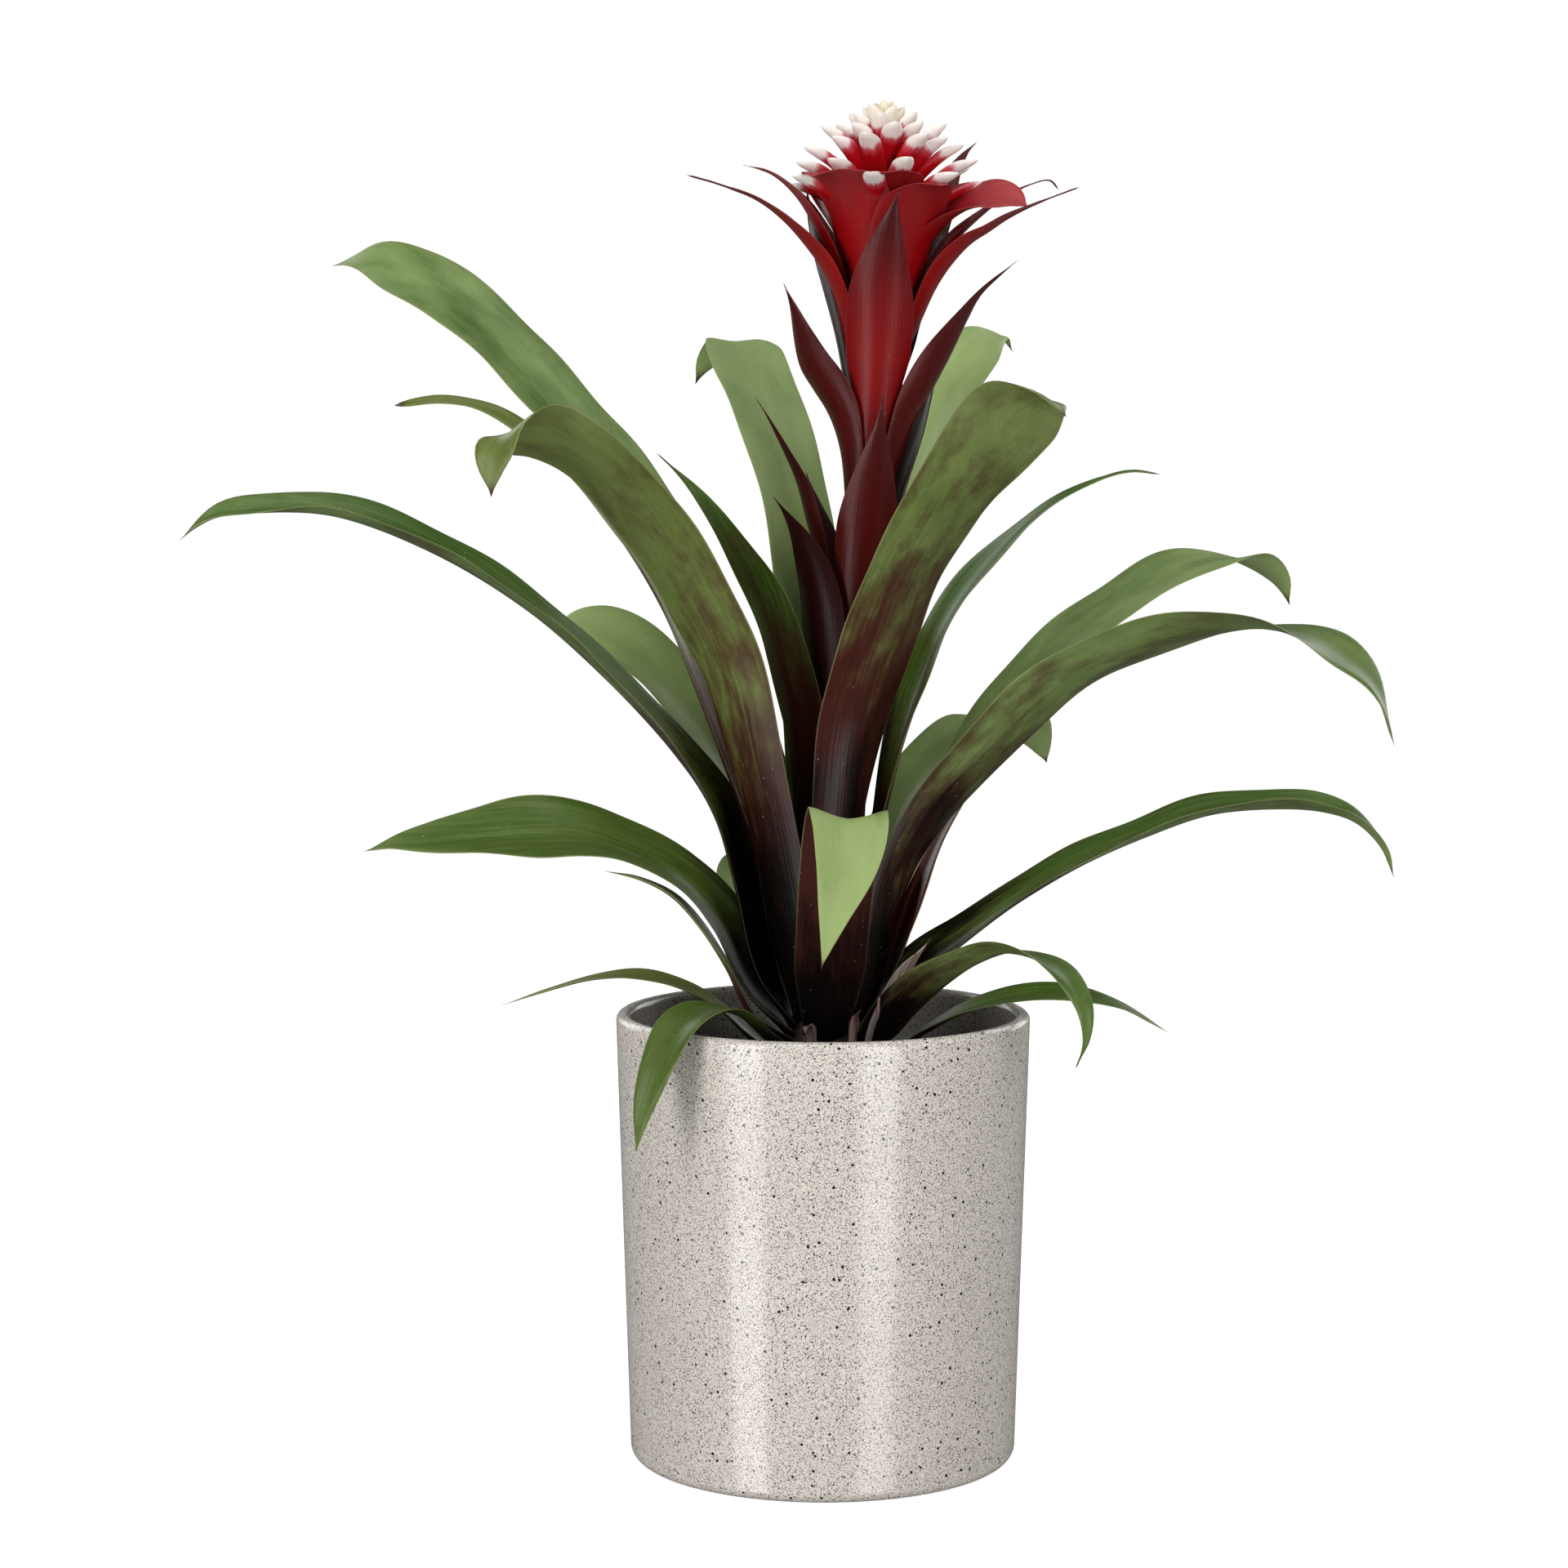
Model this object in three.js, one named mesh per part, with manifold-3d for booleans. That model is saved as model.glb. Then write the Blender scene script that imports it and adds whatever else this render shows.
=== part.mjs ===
// Potted guzmania: a rosette of strap leaves round a leafy flower stem, rooted in a grower pot
// that stands inside a speckled glazed cover pot. Millimetres, +Z up, origin at the middle of
// the cover pot's flat underside. Headings are compass angles about Z: 0 is +X, 90 is +Y.
import * as THREE from "three";
import { mergeVertices } from "three/addons/utils/BufferGeometryUtils.js";
import Module from "manifold-3d";

const wasm = await Module();
wasm.setup();

// Driving sizes of the pots and the soil
const POT_HEIGHT = 152;
const POT_RADIUS_TOP = 70;
const POT_RADIUS_FOOT = 65.5;
const POT_WALL = 5;
const POT_FLOOR = 8;
const POT_SIDES = 56;
const GROWER_RADIUS_TOP = 57;
const GROWER_RADIUS_FOOT = 45;
const GROWER_WALL = 1.4;
const GROWER_RIM_Z = 127;
const GROWER_SIDES = 40;
const DRAIN_HOLES = 5;
const DRAIN_RADIUS = 4;
const DRAIN_RING = 28;
const SOIL_TOP = 117;
const SOIL_CROWN = 2;

// Driving sizes of the plant
const FIT = 0.35;
const LEAF_THICK = 0.8;
const BRACT_THICK = 0.7;
const STUMP_RADIUS = 22;
const STUMP_FOOT_Z = 88;
const CROWN_FOOT_Z = 119;
const CROWN_TOP_Z = 158;
const STEM_RADIUS_LOW = 5.5;
const STEM_RADIUS_HIGH = 4.6;
const STEM_TOP_Z = 404;
const STEM_SIDES = 16;
const STEM_STEPS = 10;
const CROWN_STEPS = 3;
const STEM_LEAN = 20;
const LEAN_FROM_Z = 150;
const LEAN_TO_Z = 420;
const SHEATH_HALF_WRAP = 38;
const SHEATH_STEP = 1.2;
const BRACT_HALF_WRAP = 56;
const TIP_WIDTH = 1.2;

// Shared outline of a foliage leaf: widths in mm, half-angles of its gutter in degrees, and the
// fractions of its length where the neck ends, the blade is full and the tip starts to narrow.
const STRAP = {
  neck: 22,
  blade: 29,
  neckAt: 0.22,
  bladeAt: 0.5,
  taperAt: 0.72,
  tipPower: 0.75,
  gutterNeck: 32,
  gutterTip: 18,
  rows: 13,
  cells: 4,
  hugs: true,
};

// Shared outline of a stem bract: broad in the middle and drawn out into a point.
const SCALE = {
  neck: 17,
  blade: 21,
  neckAt: 0.25,
  bladeAt: 0.45,
  taperAt: 0.45,
  tipPower: 0.9,
  gutterNeck: 45,
  gutterTip: 20,
  rows: 9,
  cells: 4,
  hugs: true,
};

// The foliage leaves, innermost first. Each spine point is [out, up, twist, side]: distance from
// the axis along the heading, height, roll of the blade in degrees and shift to the side.
const FOLIAGE = [
  { name: "leaf_inner_left", heading: 202, blade: 22, neck: 16, taperAt: 0.45, tipPower: 0.8,
    spine: [[9, 190, 0], [9.5, 229, 6], [12, 262, 18], [20, 290, 25], [31, 309, 38], [43, 325, 50],
      [55, 336, 30]] },
  { name: "leaf_back_upright", heading: 108, blade: 30, taperAt: 0.8, tipPower: 0.6,
    spine: [[12, 190, 3], [18, 250, 12], [27, 308, 17], [43, 336, 8], [65, 359, -2], [88, 374, -15],
      [110, 383, -30], [128, 385, -45], [136, 380, -50], [134, 370, -45]] },
  { name: "leaf_back_right_upright", heading: 62, blade: 29, taperAt: 0.78, tipPower: 0.6,
    spine: [[14, 190, -5], [24.5, 250, -20], [43, 294, -24], [60, 322, -20], [79, 346, -15],
      [99, 366, 0], [115, 378, 25], [130, 383, 30], [141, 383, 15], [149, 378, 5]] },
  { name: "leaf_front_right_tall", heading: 300, blade: 31, taperAt: 0.86, tipPower: 0.5,
    spine: [[12, 185, 18], [18, 225, 10], [24, 250, 0], [38, 275, 0], [55, 299, 0], [74, 318, -5],
      [92, 333, -18], [108, 345, -30], [122, 353, -35], [136, 355, -20], [145, 350, -10]] },
  { name: "leaf_back_left_tall", heading: 140, blade: 29,
    spine: [[13.5, 185, 0], [29, 236, 0], [47, 272, -3], [66, 299, -5], [90, 328, -12], [120, 354, -15],
      [148, 377, -17], [175, 395, -25], [200, 407, -42], [220, 413, -50], [242, 411, -20]] },
  { name: "leaf_right_slender", heading: 352, blade: 24, neck: 18, taperAt: 0.6, tipPower: 1.1,
    spine: [[16, 190, 8], [21.5, 222, 18], [26, 243, 26], [32, 262, 28], [43, 287, 25], [57, 305, 20], [76, 323, 18],
      [94, 332, 15], [103, 334, 12], [112, 333, 0]] },
  { name: "leaf_left_slender", heading: 178, blade: 25, neck: 17, taperAt: 0.55, tipPower: 1.1,
    spine: [[15, 180, -3], [25, 213, -8], [39.5, 253, -10], [54, 289, -10], [75, 322, -12],
      [97, 345, -10], [113, 355, -10], [128, 358, -15], [144, 356, 0]] },
  { name: "leaf_front_left_tall", heading: 228, blade: 30, taperAt: 0.82, tipPower: 0.55,
    spine: [[18, 180, -3], [26, 211, -4], [33.5, 236, 0], [43, 266, 8], [58, 292, 15], [76, 317, 15],
      [98, 338, 18], [116, 349, 18], [132, 351, 20], [144, 346, 30], [151, 336, 35], [153, 324, 25]] },
  { name: "leaf_back_arched", heading: 88, blade: 28,
    spine: [[15, 168, 0], [27, 210, 0], [44, 248, 0], [70, 278, 0], [98, 291, 5], [124, 285, 8], [146, 262, 10]] },
  { name: "leaf_back_left_arched", heading: 140, blade: 28, taperAt: 0.7,
    spine: [[16, 168, 0], [25.5, 203, 6], [41, 227, 6], [56, 247, -5], [74, 263, -12], [92, 275, -28],
      [108, 281, -45], [119, 281, -50], [126, 276, -45]] },
  { name: "leaf_back_right_arched", heading: 28, blade: 28,
    spine: [[16, 160, -5], [24, 182, 0], [37, 205, 2], [56, 232, 6], [75, 255, 9], [95, 273, 11],
      [119, 288, 13], [144, 300, 14], [163, 303, 6], [177, 301, -15], [186, 295, -28], [190, 286, -20]] },
  { name: "leaf_front_right_arched", heading: 340, blade: 29,
    spine: [[17, 155, -5], [22, 178, -8], [29, 201, -18], [40, 220, -28], [58, 240, -30], [81, 262, -28],
      [105, 275, -26], [129, 282, -20], [149, 284, -8], [164, 281, 8], [176, 275, 25], [186, 266, 30],
      [193, 247, 15]] },
  { name: "leaf_left_long", heading: 184, blade: 28,
    spine: [[21, 165, -6], [28.5, 198, -18], [35.5, 219, -24], [50, 241, -20], [74, 268, -15],
      [99, 290, -15], [130, 309, -20], [163, 321, -22], [187, 322, -32], [200, 320, -38],
      [208, 316, -25], [214, 311, 0]] },
  { name: "leaf_back_right_low", heading: 57, blade: 27,
    spine: [[20, 160, -15], [35, 190, -18], [50, 214, -14], [70, 231, -3], [92, 242, 8], [113, 245, 20],
      [133, 241, 40], [145, 235, 45], [153, 226, 30]] },
  { name: "leaf_right_hidden", heading: 3, blade: 16, taperAt: 0.45,
    spine: [[21, 159, 8], [29, 176, 15], [37, 195, 20], [47, 213, 20], [58, 229, 15], [70, 240, 10]] },
  { name: "leaf_back_low", heading: 104, blade: 26,
    spine: [[20, 150, 0], [42, 176, 0], [70, 192, 0], [96, 192, 5], [120, 178, 8], [136, 156, 8]] },
  { name: "leaf_front_folded", heading: 274, blade: 28, neck: 24, taperAt: 0.8, tipPower: 0.85, gutterTip: 30,
    spine: [[19, 150, 0], [38, 172, 0], [60, 197, 0], [82, 216, 0], [98, 225, 0], [107, 227, 0, 0],
      [113, 223, 0, 1], [121, 212, 0, -2], [130, 199, 0, -6], [136, 187, 0, -11]] },
  { name: "leaf_right_long", heading: 4, blade: 24, gutterTip: 26,
    spine: [[22, 154, 8], [33, 166, 10], [49, 178, 10], [68, 192, 14], [89, 204, 15], [110, 212, 8],
      [131, 218, 5], [152, 220, 5], [170, 219, 8], [182, 215, 8], [191, 206, 5], [195, 196, 0]] },
  { name: "leaf_left_broad", heading: 187, blade: 30, taperAt: 0.62, gutterTip: 26,
    spine: [[23, 158, -10], [35.5, 184, -20], [49, 198, -18], [66, 207, -25], [82, 212, -36],
      [98, 213, -44], [115, 212, -42], [131, 211, -45], [143, 210, -35], [154, 208, 0]] },
  { name: "leaf_left_hidden", heading: 197, blade: 13, neck: 13, taperAt: 0.45,
    spine: [[26, 152, -10], [34, 168, -15], [43, 182, -14], [53, 193, -12], [64, 199, -8], [76, 202, 0]] },
  { name: "leaf_front_right_low", heading: 322, blade: 21, neck: 20, taperAt: 0.62,
    spine: [[24, 144, -12], [31, 153, -20], [42, 163, -22], [57, 173, -18], [73, 179, -15], [89, 179, -12],
      [100, 174, -22], [107, 165, -32], [109, 155, -32], [105, 145, -15]] },
  { name: "leaf_front_left_drooping", heading: 222, blade: 21, neck: 8, taperAt: 0.62,
    spine: [[25, 146, -10], [33, 155, -14], [42, 161, -14], [52, 163, -12], [63, 161, -10], [73, 154, -10],
      [81, 142, -10], [88, 126, -15], [91, 112, 0]] },
  { name: "leaf_left_small", heading: 165, blade: 10, neck: 9, taperAt: 0.45,
    spine: [[25, 141, 5], [35, 150, 2], [47, 157, -8], [63, 161, -12], [81, 160, -10], [99, 155, -5], [116, 149, 0]] },
  { name: "leaf_right_small", heading: 352, blade: 15, neck: 12, taperAt: 0.5,
    spine: [[24, 138, 0], [36, 147, 2], [50, 156, 10], [66, 161, 20], [84, 162, 15], [100, 158, 10], [117, 148, 0]] },
];

// The bracts of the flower stem, topmost first. Distances are from the leaning stem's own axis,
// and the first point of each spine is added where the bract's foot touches the stem.
const STEM_BRACTS = [
  { name: "cup_bract_front", heading: 265, foot: 389, blade: 22,
    spine: [[8.5, 399], [12, 408], [17, 415], [23, 420], [29, 423]] },
  { name: "cup_bract_back_right", heading: 28, foot: 387.5, blade: 22,
    spine: [[9, 399], [12.5, 408], [18, 416], [25, 422.5], [34, 426]] },
  { name: "cup_bract_back_left", heading: 134, foot: 385.5, blade: 21,
    spine: [[11, 398], [15, 407], [20.5, 415], [28, 421], [37, 424]] },
  { name: "cup_bract_right", heading: 345, foot: 383, blade: 20,
    spine: [[10, 394], [14.5, 403, 2], [21, 412.5, 8], [28, 418.5, 18], [36, 421.5, 26], [44, 421, 28]] },
  { name: "cup_bract_front_right", heading: 305, foot: 376, blade: 24,
    spine: [[11.5, 393], [16.5, 402.5], [22.5, 410.5], [29, 416.5], [36, 419]] },
  { name: "cup_bract_back", heading: 82, foot: 379.5, blade: 24,
    spine: [[11, 391], [15.5, 402], [22, 411], [29, 418.5], [39, 423]] },
  { name: "cup_bract_front_left", heading: 225, foot: 381, blade: 25,
    spine: [[9.2, 390], [12.7, 401], [17.5, 410], [24, 417], [32, 421], [43, 422]] },
  { name: "stem_bract_01", heading: 172, foot: 374, blade: 17, tipPower: 1.2,
    spine: [[11, 388], [16.2, 402], [22.7, 414.5], [29.5, 425.5], [38, 433], [48, 436]] },
  { name: "stem_bract_02", heading: 12, foot: 371, blade: 15, tipPower: 1.3,
    spine: [[10.5, 386], [17, 400], [24, 410], [32, 418], [41, 425], [50, 429.5], [57, 431], [60, 428]] },
  { name: "stem_bract_03", heading: 350, foot: 366, blade: 22, tipPower: 1.1,
    spine: [[12, 381], [18.5, 396], [24.5, 404.5, 3], [29.5, 409.5, 6], [35, 413, 8], [41, 417, 8],
      [50, 421.5, 6], [65, 427, 0]] },
  { name: "stem_bract_04", heading: 190, foot: 362, blade: 20, tipPower: 1.2,
    spine: [[11.5, 377], [15.5, 391, -3], [20.5, 401, -6], [26.5, 409, -9], [34, 417, -10],
      [43, 423.5, -5], [55, 428], [66, 431]] },
  { name: "stem_bract_05", heading: 100, foot: 358, blade: 19,
    spine: [[10.5, 375], [14.5, 391], [22, 406], [31, 418], [42, 427], [53, 432]] },
  { name: "stem_bract_06", heading: 55, foot: 353, blade: 20,
    spine: [[11.5, 370], [16, 384], [21.5, 397], [27.5, 410.5], [35, 424], [41, 434], [49, 442], [57, 447]] },
  { name: "stem_bract_07", heading: 150, foot: 348, blade: 21,
    spine: [[11.5, 366], [15.5, 380], [20, 393], [24.5, 406], [28, 418], [30, 430]] },
  { name: "stem_bract_08", heading: 268, foot: 330, blade: 23, tipPower: 0.8, neck: 16,
    spine: [[8, 345], [11, 362], [14.5, 380], [19, 396], [24, 410, 0, 2], [29, 424, 0, 5]] },
  { name: "stem_bract_09", heading: 200, foot: 318, blade: 20,
    spine: [[9, 338, 5], [13, 351, 12], [18.5, 361.5, 22], [23.5, 369.5, 28], [28, 379.5, 25],
      [31.5, 388.5, 15], [35, 396]] },
  { name: "stem_bract_10", heading: 345, foot: 313, blade: 20,
    spine: [[9, 334, -3], [13, 351, -10], [18, 363, -18], [23.5, 375, -20], [28.5, 384.5, -12],
      [34, 393], [46, 403.5]] },
  { name: "stem_bract_11", heading: 88, foot: 306, blade: 21,
    spine: [[10.5, 328], [15, 347], [21.5, 366], [30, 382], [41, 394]] },
  { name: "stem_bract_12", heading: 24, foot: 286, blade: 20,
    spine: [[9.5, 306], [13, 328], [17, 345], [20, 360], [22, 374]] },
  { name: "stem_bract_13", heading: 275, foot: 272, blade: 22, tipPower: 0.8,
    spine: [[9, 292], [13, 312], [18, 332], [22, 348], [24, 359]] },
  { name: "stem_bract_14", heading: 190, foot: 262, blade: 12, neck: 12,
    spine: [[9.5, 284], [14.5, 306, 6], [18.5, 317, 14], [23, 330, 18], [28.5, 340, 15], [36, 352, 10],
      [41, 359]] },
  { name: "stem_bract_15", heading: 135, foot: 244, blade: 21,
    spine: [[9, 268], [13, 292], [20, 315], [30, 334]] },
  { name: "stem_bract_16", heading: 215, foot: 226, blade: 21,
    spine: [[9, 252, 5], [13, 276, 14], [17.5, 297, 24], [24.5, 311, 25], [31, 319, 15], [38, 326]] },
  { name: "stem_bract_17", heading: 30, foot: 206, blade: 20,
    spine: [[9, 230], [12, 254], [18, 276], [27, 295]] },
];

// The flower head: pointed fleshy bracts set in a spiral on a short core, from flat-lying ones
// round the foot to upright ones at the crown.
const HEAD_BRACTS = 40;
const HEAD_CORE_FOOT_Z = STEM_TOP_Z + FIT;
const HEAD_CORE_TOP_Z = 446;
const HEAD_CORE_RADIUS = 9;
const HEAD_TIP_Z = 455;
const HEAD_TIP_RADIUS = 36;
const HEAD_RIM_Z = 431;
const HEAD_FOOT_LOW_Z = 411;
const HEAD_FOOT_HIGH_Z = 442;
const HEAD_BRACT_WIDTH = 10.5;
const HEAD_BRACT_THICK = 1.8;
const GOLDEN_ANGLE = 137.508;

// Colours and finishes
const finish = (color, roughness) => new THREE.MeshStandardMaterial({ color, roughness, metalness: 0 });
const GLAZE = () => finish(0xc9c4bc, 0.22);
const GROWER_PLASTIC = () => finish(0x2a211d, 0.55);
const PEAT = () => finish(0x2b1d14, 0.95);
const STEM_SKIN = () => finish(0x5a2a26, 0.5);
const LEAF_GREEN = () => finish(0x3f6b2c, 0.4);
const BRACT_RED = () => finish(0x7d1a1e, 0.45);
const HEAD_RED = () => finish(0xc8202e, 0.4);

// Small helpers
const radians = (degrees) => (degrees * Math.PI) / 180;
const clamp01 = (x) => Math.min(1, Math.max(0, x));
const ease = (x) => clamp01(x) ** 2 * (3 - 2 * clamp01(x));
const mix = (a, b, t) => a + (b - a) * t;
const turnBetween = (a, b) => Math.abs(((a - b + 540) % 360) - 180);

// Where the leaning stem's axis is, and how thick the stem is, at a height.
const stemX = (z) => STEM_LEAN * ease((z - LEAN_FROM_Z) / (LEAN_TO_Z - LEAN_FROM_Z));
const stemRadius = (z) => mix(STEM_RADIUS_LOW, STEM_RADIUS_HIGH, (z - CROWN_TOP_Z) / (STEM_TOP_Z - CROWN_TOP_Z));
const axisDistance = (point) => Math.hypot(point.x - stemX(point.z), point.y);
// Radius of the crown, the conical short stem that the foliage leaves grow from.
const crownRadius = (z) => mix(STUMP_RADIUS, STEM_RADIUS_LOW, clamp01((z - CROWN_FOOT_Z) / (CROWN_TOP_Z - CROWN_FOOT_Z)));

// A named mesh.
function part(name, geometry, material) {
  const mesh = new THREE.Mesh(geometry, material);
  mesh.name = name;
  return mesh;
}

// A closed three.js geometry as a manifold-3d solid, and back.
function toSolid(geometry) {
  const bare = geometry.clone();
  bare.deleteAttribute("normal");
  bare.deleteAttribute("uv");
  const merged = mergeVertices(bare, 1e-4);
  return new wasm.Manifold(
    new wasm.Mesh({
      numProp: 3,
      vertProperties: merged.attributes.position.array,
      triVerts: new Uint32Array(merged.index.array),
    }),
  );
}
function toGeometry(solid) {
  const { vertProperties, triVerts } = solid.getMesh();
  const geometry = new THREE.BufferGeometry();
  geometry.setAttribute("position", new THREE.BufferAttribute(vertProperties, 3));
  geometry.setIndex(new THREE.BufferAttribute(triVerts, 1));
  return geometry;
}

// A closed solid of revolution about Z from a profile of [radius, z] points, axis to axis.
function lathe(profile, sides) {
  const points = profile.map(([r, z]) => new THREE.Vector2(r, z));
  return new THREE.LatheGeometry(points, sides).rotateX(Math.PI / 2);
}

// A smooth curve through the spine points, as evenly spaced stations with position, tangent,
// side direction and upper-face normal. origin is the point that the distances start from.
function stations(spine, heading, rows, origin) {
  const h = radians(heading);
  const out = new THREE.Vector3(Math.cos(h), Math.sin(h), 0);
  const side = new THREE.Vector3(-Math.sin(h), Math.cos(h), 0);
  const points = spine.map(([o, up, , across = 0]) =>
    new THREE.Vector3(0, 0, up).addScaledVector(out, o).addScaledVector(side, across).add(origin),
  );
  const curve = new THREE.CatmullRomCurve3(points, false, "centripetal");
  curve.arcLengthDivisions = 400;
  const rolls = spine.map(([, , roll = 0]) => roll);
  const result = [];
  for (let i = 0; i <= rows; i++) {
    const s = i / rows;
    const t = curve.getUtoTmapping(s);
    const at = t * (rolls.length - 1);
    const k = Math.min(Math.floor(at), rolls.length - 2);
    const roll = radians(mix(rolls[k], rolls[k + 1], at - k));
    const tangent = curve.getTangent(t);
    const across = side.clone().addScaledVector(tangent, -side.dot(tangent)).normalize();
    const normal = new THREE.Vector3().crossVectors(tangent, across);
    result.push({
      s,
      at: curve.getPoint(t),
      across: across.clone().multiplyScalar(Math.cos(roll)).addScaledVector(normal, Math.sin(roll)),
      normal: normal.multiplyScalar(Math.cos(roll)).addScaledVector(across, -Math.sin(roll)),
    });
  }
  return result;
}

// Width and gutter half-angle along a blade: clasping foot, neck, full blade, drawn-out tip.
function bladeWidth(b, s) {
  let width = mix(b.footWidth, b.neck, ease(s / b.neckAt));
  width += (b.blade - b.neck) * ease((s - b.neckAt) / (b.bladeAt - b.neckAt));
  const x = clamp01((s - b.taperAt) / (1 - b.taperAt));
  return Math.max(TIP_WIDTH, width * (0.5 + 0.5 * Math.cos(Math.PI * x)) ** b.tipPower);
}
function gutterAngle(b, s) {
  const low = mix(b.footWrap, b.gutterNeck, ease(s / b.neckAt));
  return radians(low + (b.gutterTip - b.gutterNeck) * ease((s - 0.45) / 0.5));
}

// One closed blade: at each station the section is an arc with the blade's width and gutter
// angle, its hollow side up. Near the stem the arc is bent further, so that it hugs the stem. Both faces lie half a thickness off that arc and are split alike.
function bladeGeometry(b, origin) {
  const { rows, cells, thick } = b;
  const upper = [];
  const lower = [];
  for (const station of stations(b.spine, b.heading, rows, origin)) {
    const width = bladeWidth(b, station.s);
    const hug = b.hugs ? Math.min(radians(55), width / 2 / axisDistance(station.at)) : 0;
    const angle = Math.max(gutterAngle(b, station.s), hug);
    const bend = width / 2 / angle;
    for (let j = 0; j <= cells; j++) {
      const turn = angle * (2 * (j / cells) - 1);
      const face = (radius) =>
        station.at
          .clone()
          .addScaledVector(station.across, radius * Math.sin(turn))
          .addScaledVector(station.normal, bend - radius * Math.cos(turn));
      upper.push(face(bend - thick / 2));
      lower.push(face(bend + thick / 2));
    }
  }
  return closedSheet(upper, lower, rows, cells);
}

// Joins two grids of (rows + 1) by (cells + 1) points into one closed surface with a rim.
function closedSheet(upper, lower, rows, cells) {
  const points = [...upper, ...lower];
  const index = [];
  const quad = (a, b, c, d) => index.push(a, b, c, a, c, d);
  const stride = cells + 1;
  const under = upper.length;
  for (let i = 0; i < rows; i++) {
    for (let j = 0; j < cells; j++) {
      const a = i * stride + j;
      quad(a, a + stride, a + stride + 1, a + 1);
      index.push(a + under, a + stride + 1 + under, a + stride + under);
      index.push(a + under, a + 1 + under, a + stride + 1 + under);
    }
    const left = i * stride;
    const right = left + cells;
    quad(left, left + under, left + stride + under, left + stride);
    quad(right, right + stride, right + stride + under, right + under);
  }
  for (let j = 0; j < cells; j++) {
    const tip = rows * stride + j;
    quad(j, j + 1, j + 1 + under, j + under);
    quad(tip, tip + under, tip + 1 + under, tip + 1);
  }
  const geometry = new THREE.BufferGeometry().setFromPoints(points);
  geometry.setIndex(index);
  return geometry;
}

// Each leaf's clasping foot is an arc round the crown, one step outside every inner foot that it
// overlaps round the axis, and it starts where the conical crown has that radius.
function foliageBlades() {
  const placed = [];
  for (const leaf of FOLIAGE) {
    let foot = STEM_RADIUS_LOW + FIT + LEAF_THICK / 2;
    for (const inner of placed)
      if (turnBetween(leaf.heading, inner.heading) < 2 * SHEATH_HALF_WRAP)
        foot = Math.max(foot, inner.footRadius + SHEATH_STEP);
    const grown = (STUMP_RADIUS - (foot - FIT - LEAF_THICK / 2)) / (STUMP_RADIUS - STEM_RADIUS_LOW);
    const footZ = mix(CROWN_FOOT_Z, CROWN_TOP_Z, grown);
    placed.push({
      ...STRAP,
      ...leaf,
      thick: LEAF_THICK,
      footRadius: foot,
      footWrap: SHEATH_HALF_WRAP,
      footWidth: 2 * radians(SHEATH_HALF_WRAP) * foot,
      spine: [[foot, footZ, 0], ...leaf.spine],
    });
  }
  return placed;
}

// A stem bract's foot is an arc that fits round the stem, and its spine leans with the stem.
function stemBract(bract) {
  const foot = stemRadius(bract.foot) + FIT + BRACT_THICK / 2;
  const lean = (z) => stemX(z) - stemX(bract.foot);
  const h = radians(bract.heading);
  return {
    ...SCALE,
    ...bract,
    thick: BRACT_THICK,
    footWrap: BRACT_HALF_WRAP,
    footWidth: 2 * radians(BRACT_HALF_WRAP) * foot,
    spine: [[foot, bract.foot, 0], ...bract.spine].map(([out, up, roll = 0, across = 0]) => [
      out + lean(up) * Math.cos(h),
      up,
      roll,
      across - lean(up) * Math.sin(h),
    ]),
  };
}

// The glazed cover pot: slightly tapered walls, a rounded lip and a small radius at the foot.
function coverPot() {
  const inner = (z) => mix(POT_RADIUS_FOOT, POT_RADIUS_TOP, z / POT_HEIGHT) - POT_WALL;
  const profile = [
    [0, 0],
    [POT_RADIUS_FOOT - 4, 0],
    [POT_RADIUS_FOOT - 1.2, 1.2],
    [POT_RADIUS_FOOT, 4],
    [POT_RADIUS_TOP, POT_HEIGHT - 3],
    [POT_RADIUS_TOP - 0.8, POT_HEIGHT - 0.8],
    [POT_RADIUS_TOP - POT_WALL / 2, POT_HEIGHT],
    [inner(POT_HEIGHT) + 0.8, POT_HEIGHT - 0.8],
    [inner(POT_HEIGHT), POT_HEIGHT - 3],
    [inner(POT_FLOOR), POT_FLOOR + 4],
    [inner(POT_FLOOR) - 4, POT_FLOOR],
    [0, POT_FLOOR],
  ];
  return part("cover_pot", lathe(profile, POT_SIDES), GLAZE());
}

const GROWER_FOOT_Z = POT_FLOOR + FIT;
const growerRadius = (z) =>
  mix(GROWER_RADIUS_FOOT, GROWER_RADIUS_TOP, (z - GROWER_FOOT_Z) / (GROWER_RIM_Z - GROWER_FOOT_Z));

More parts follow.
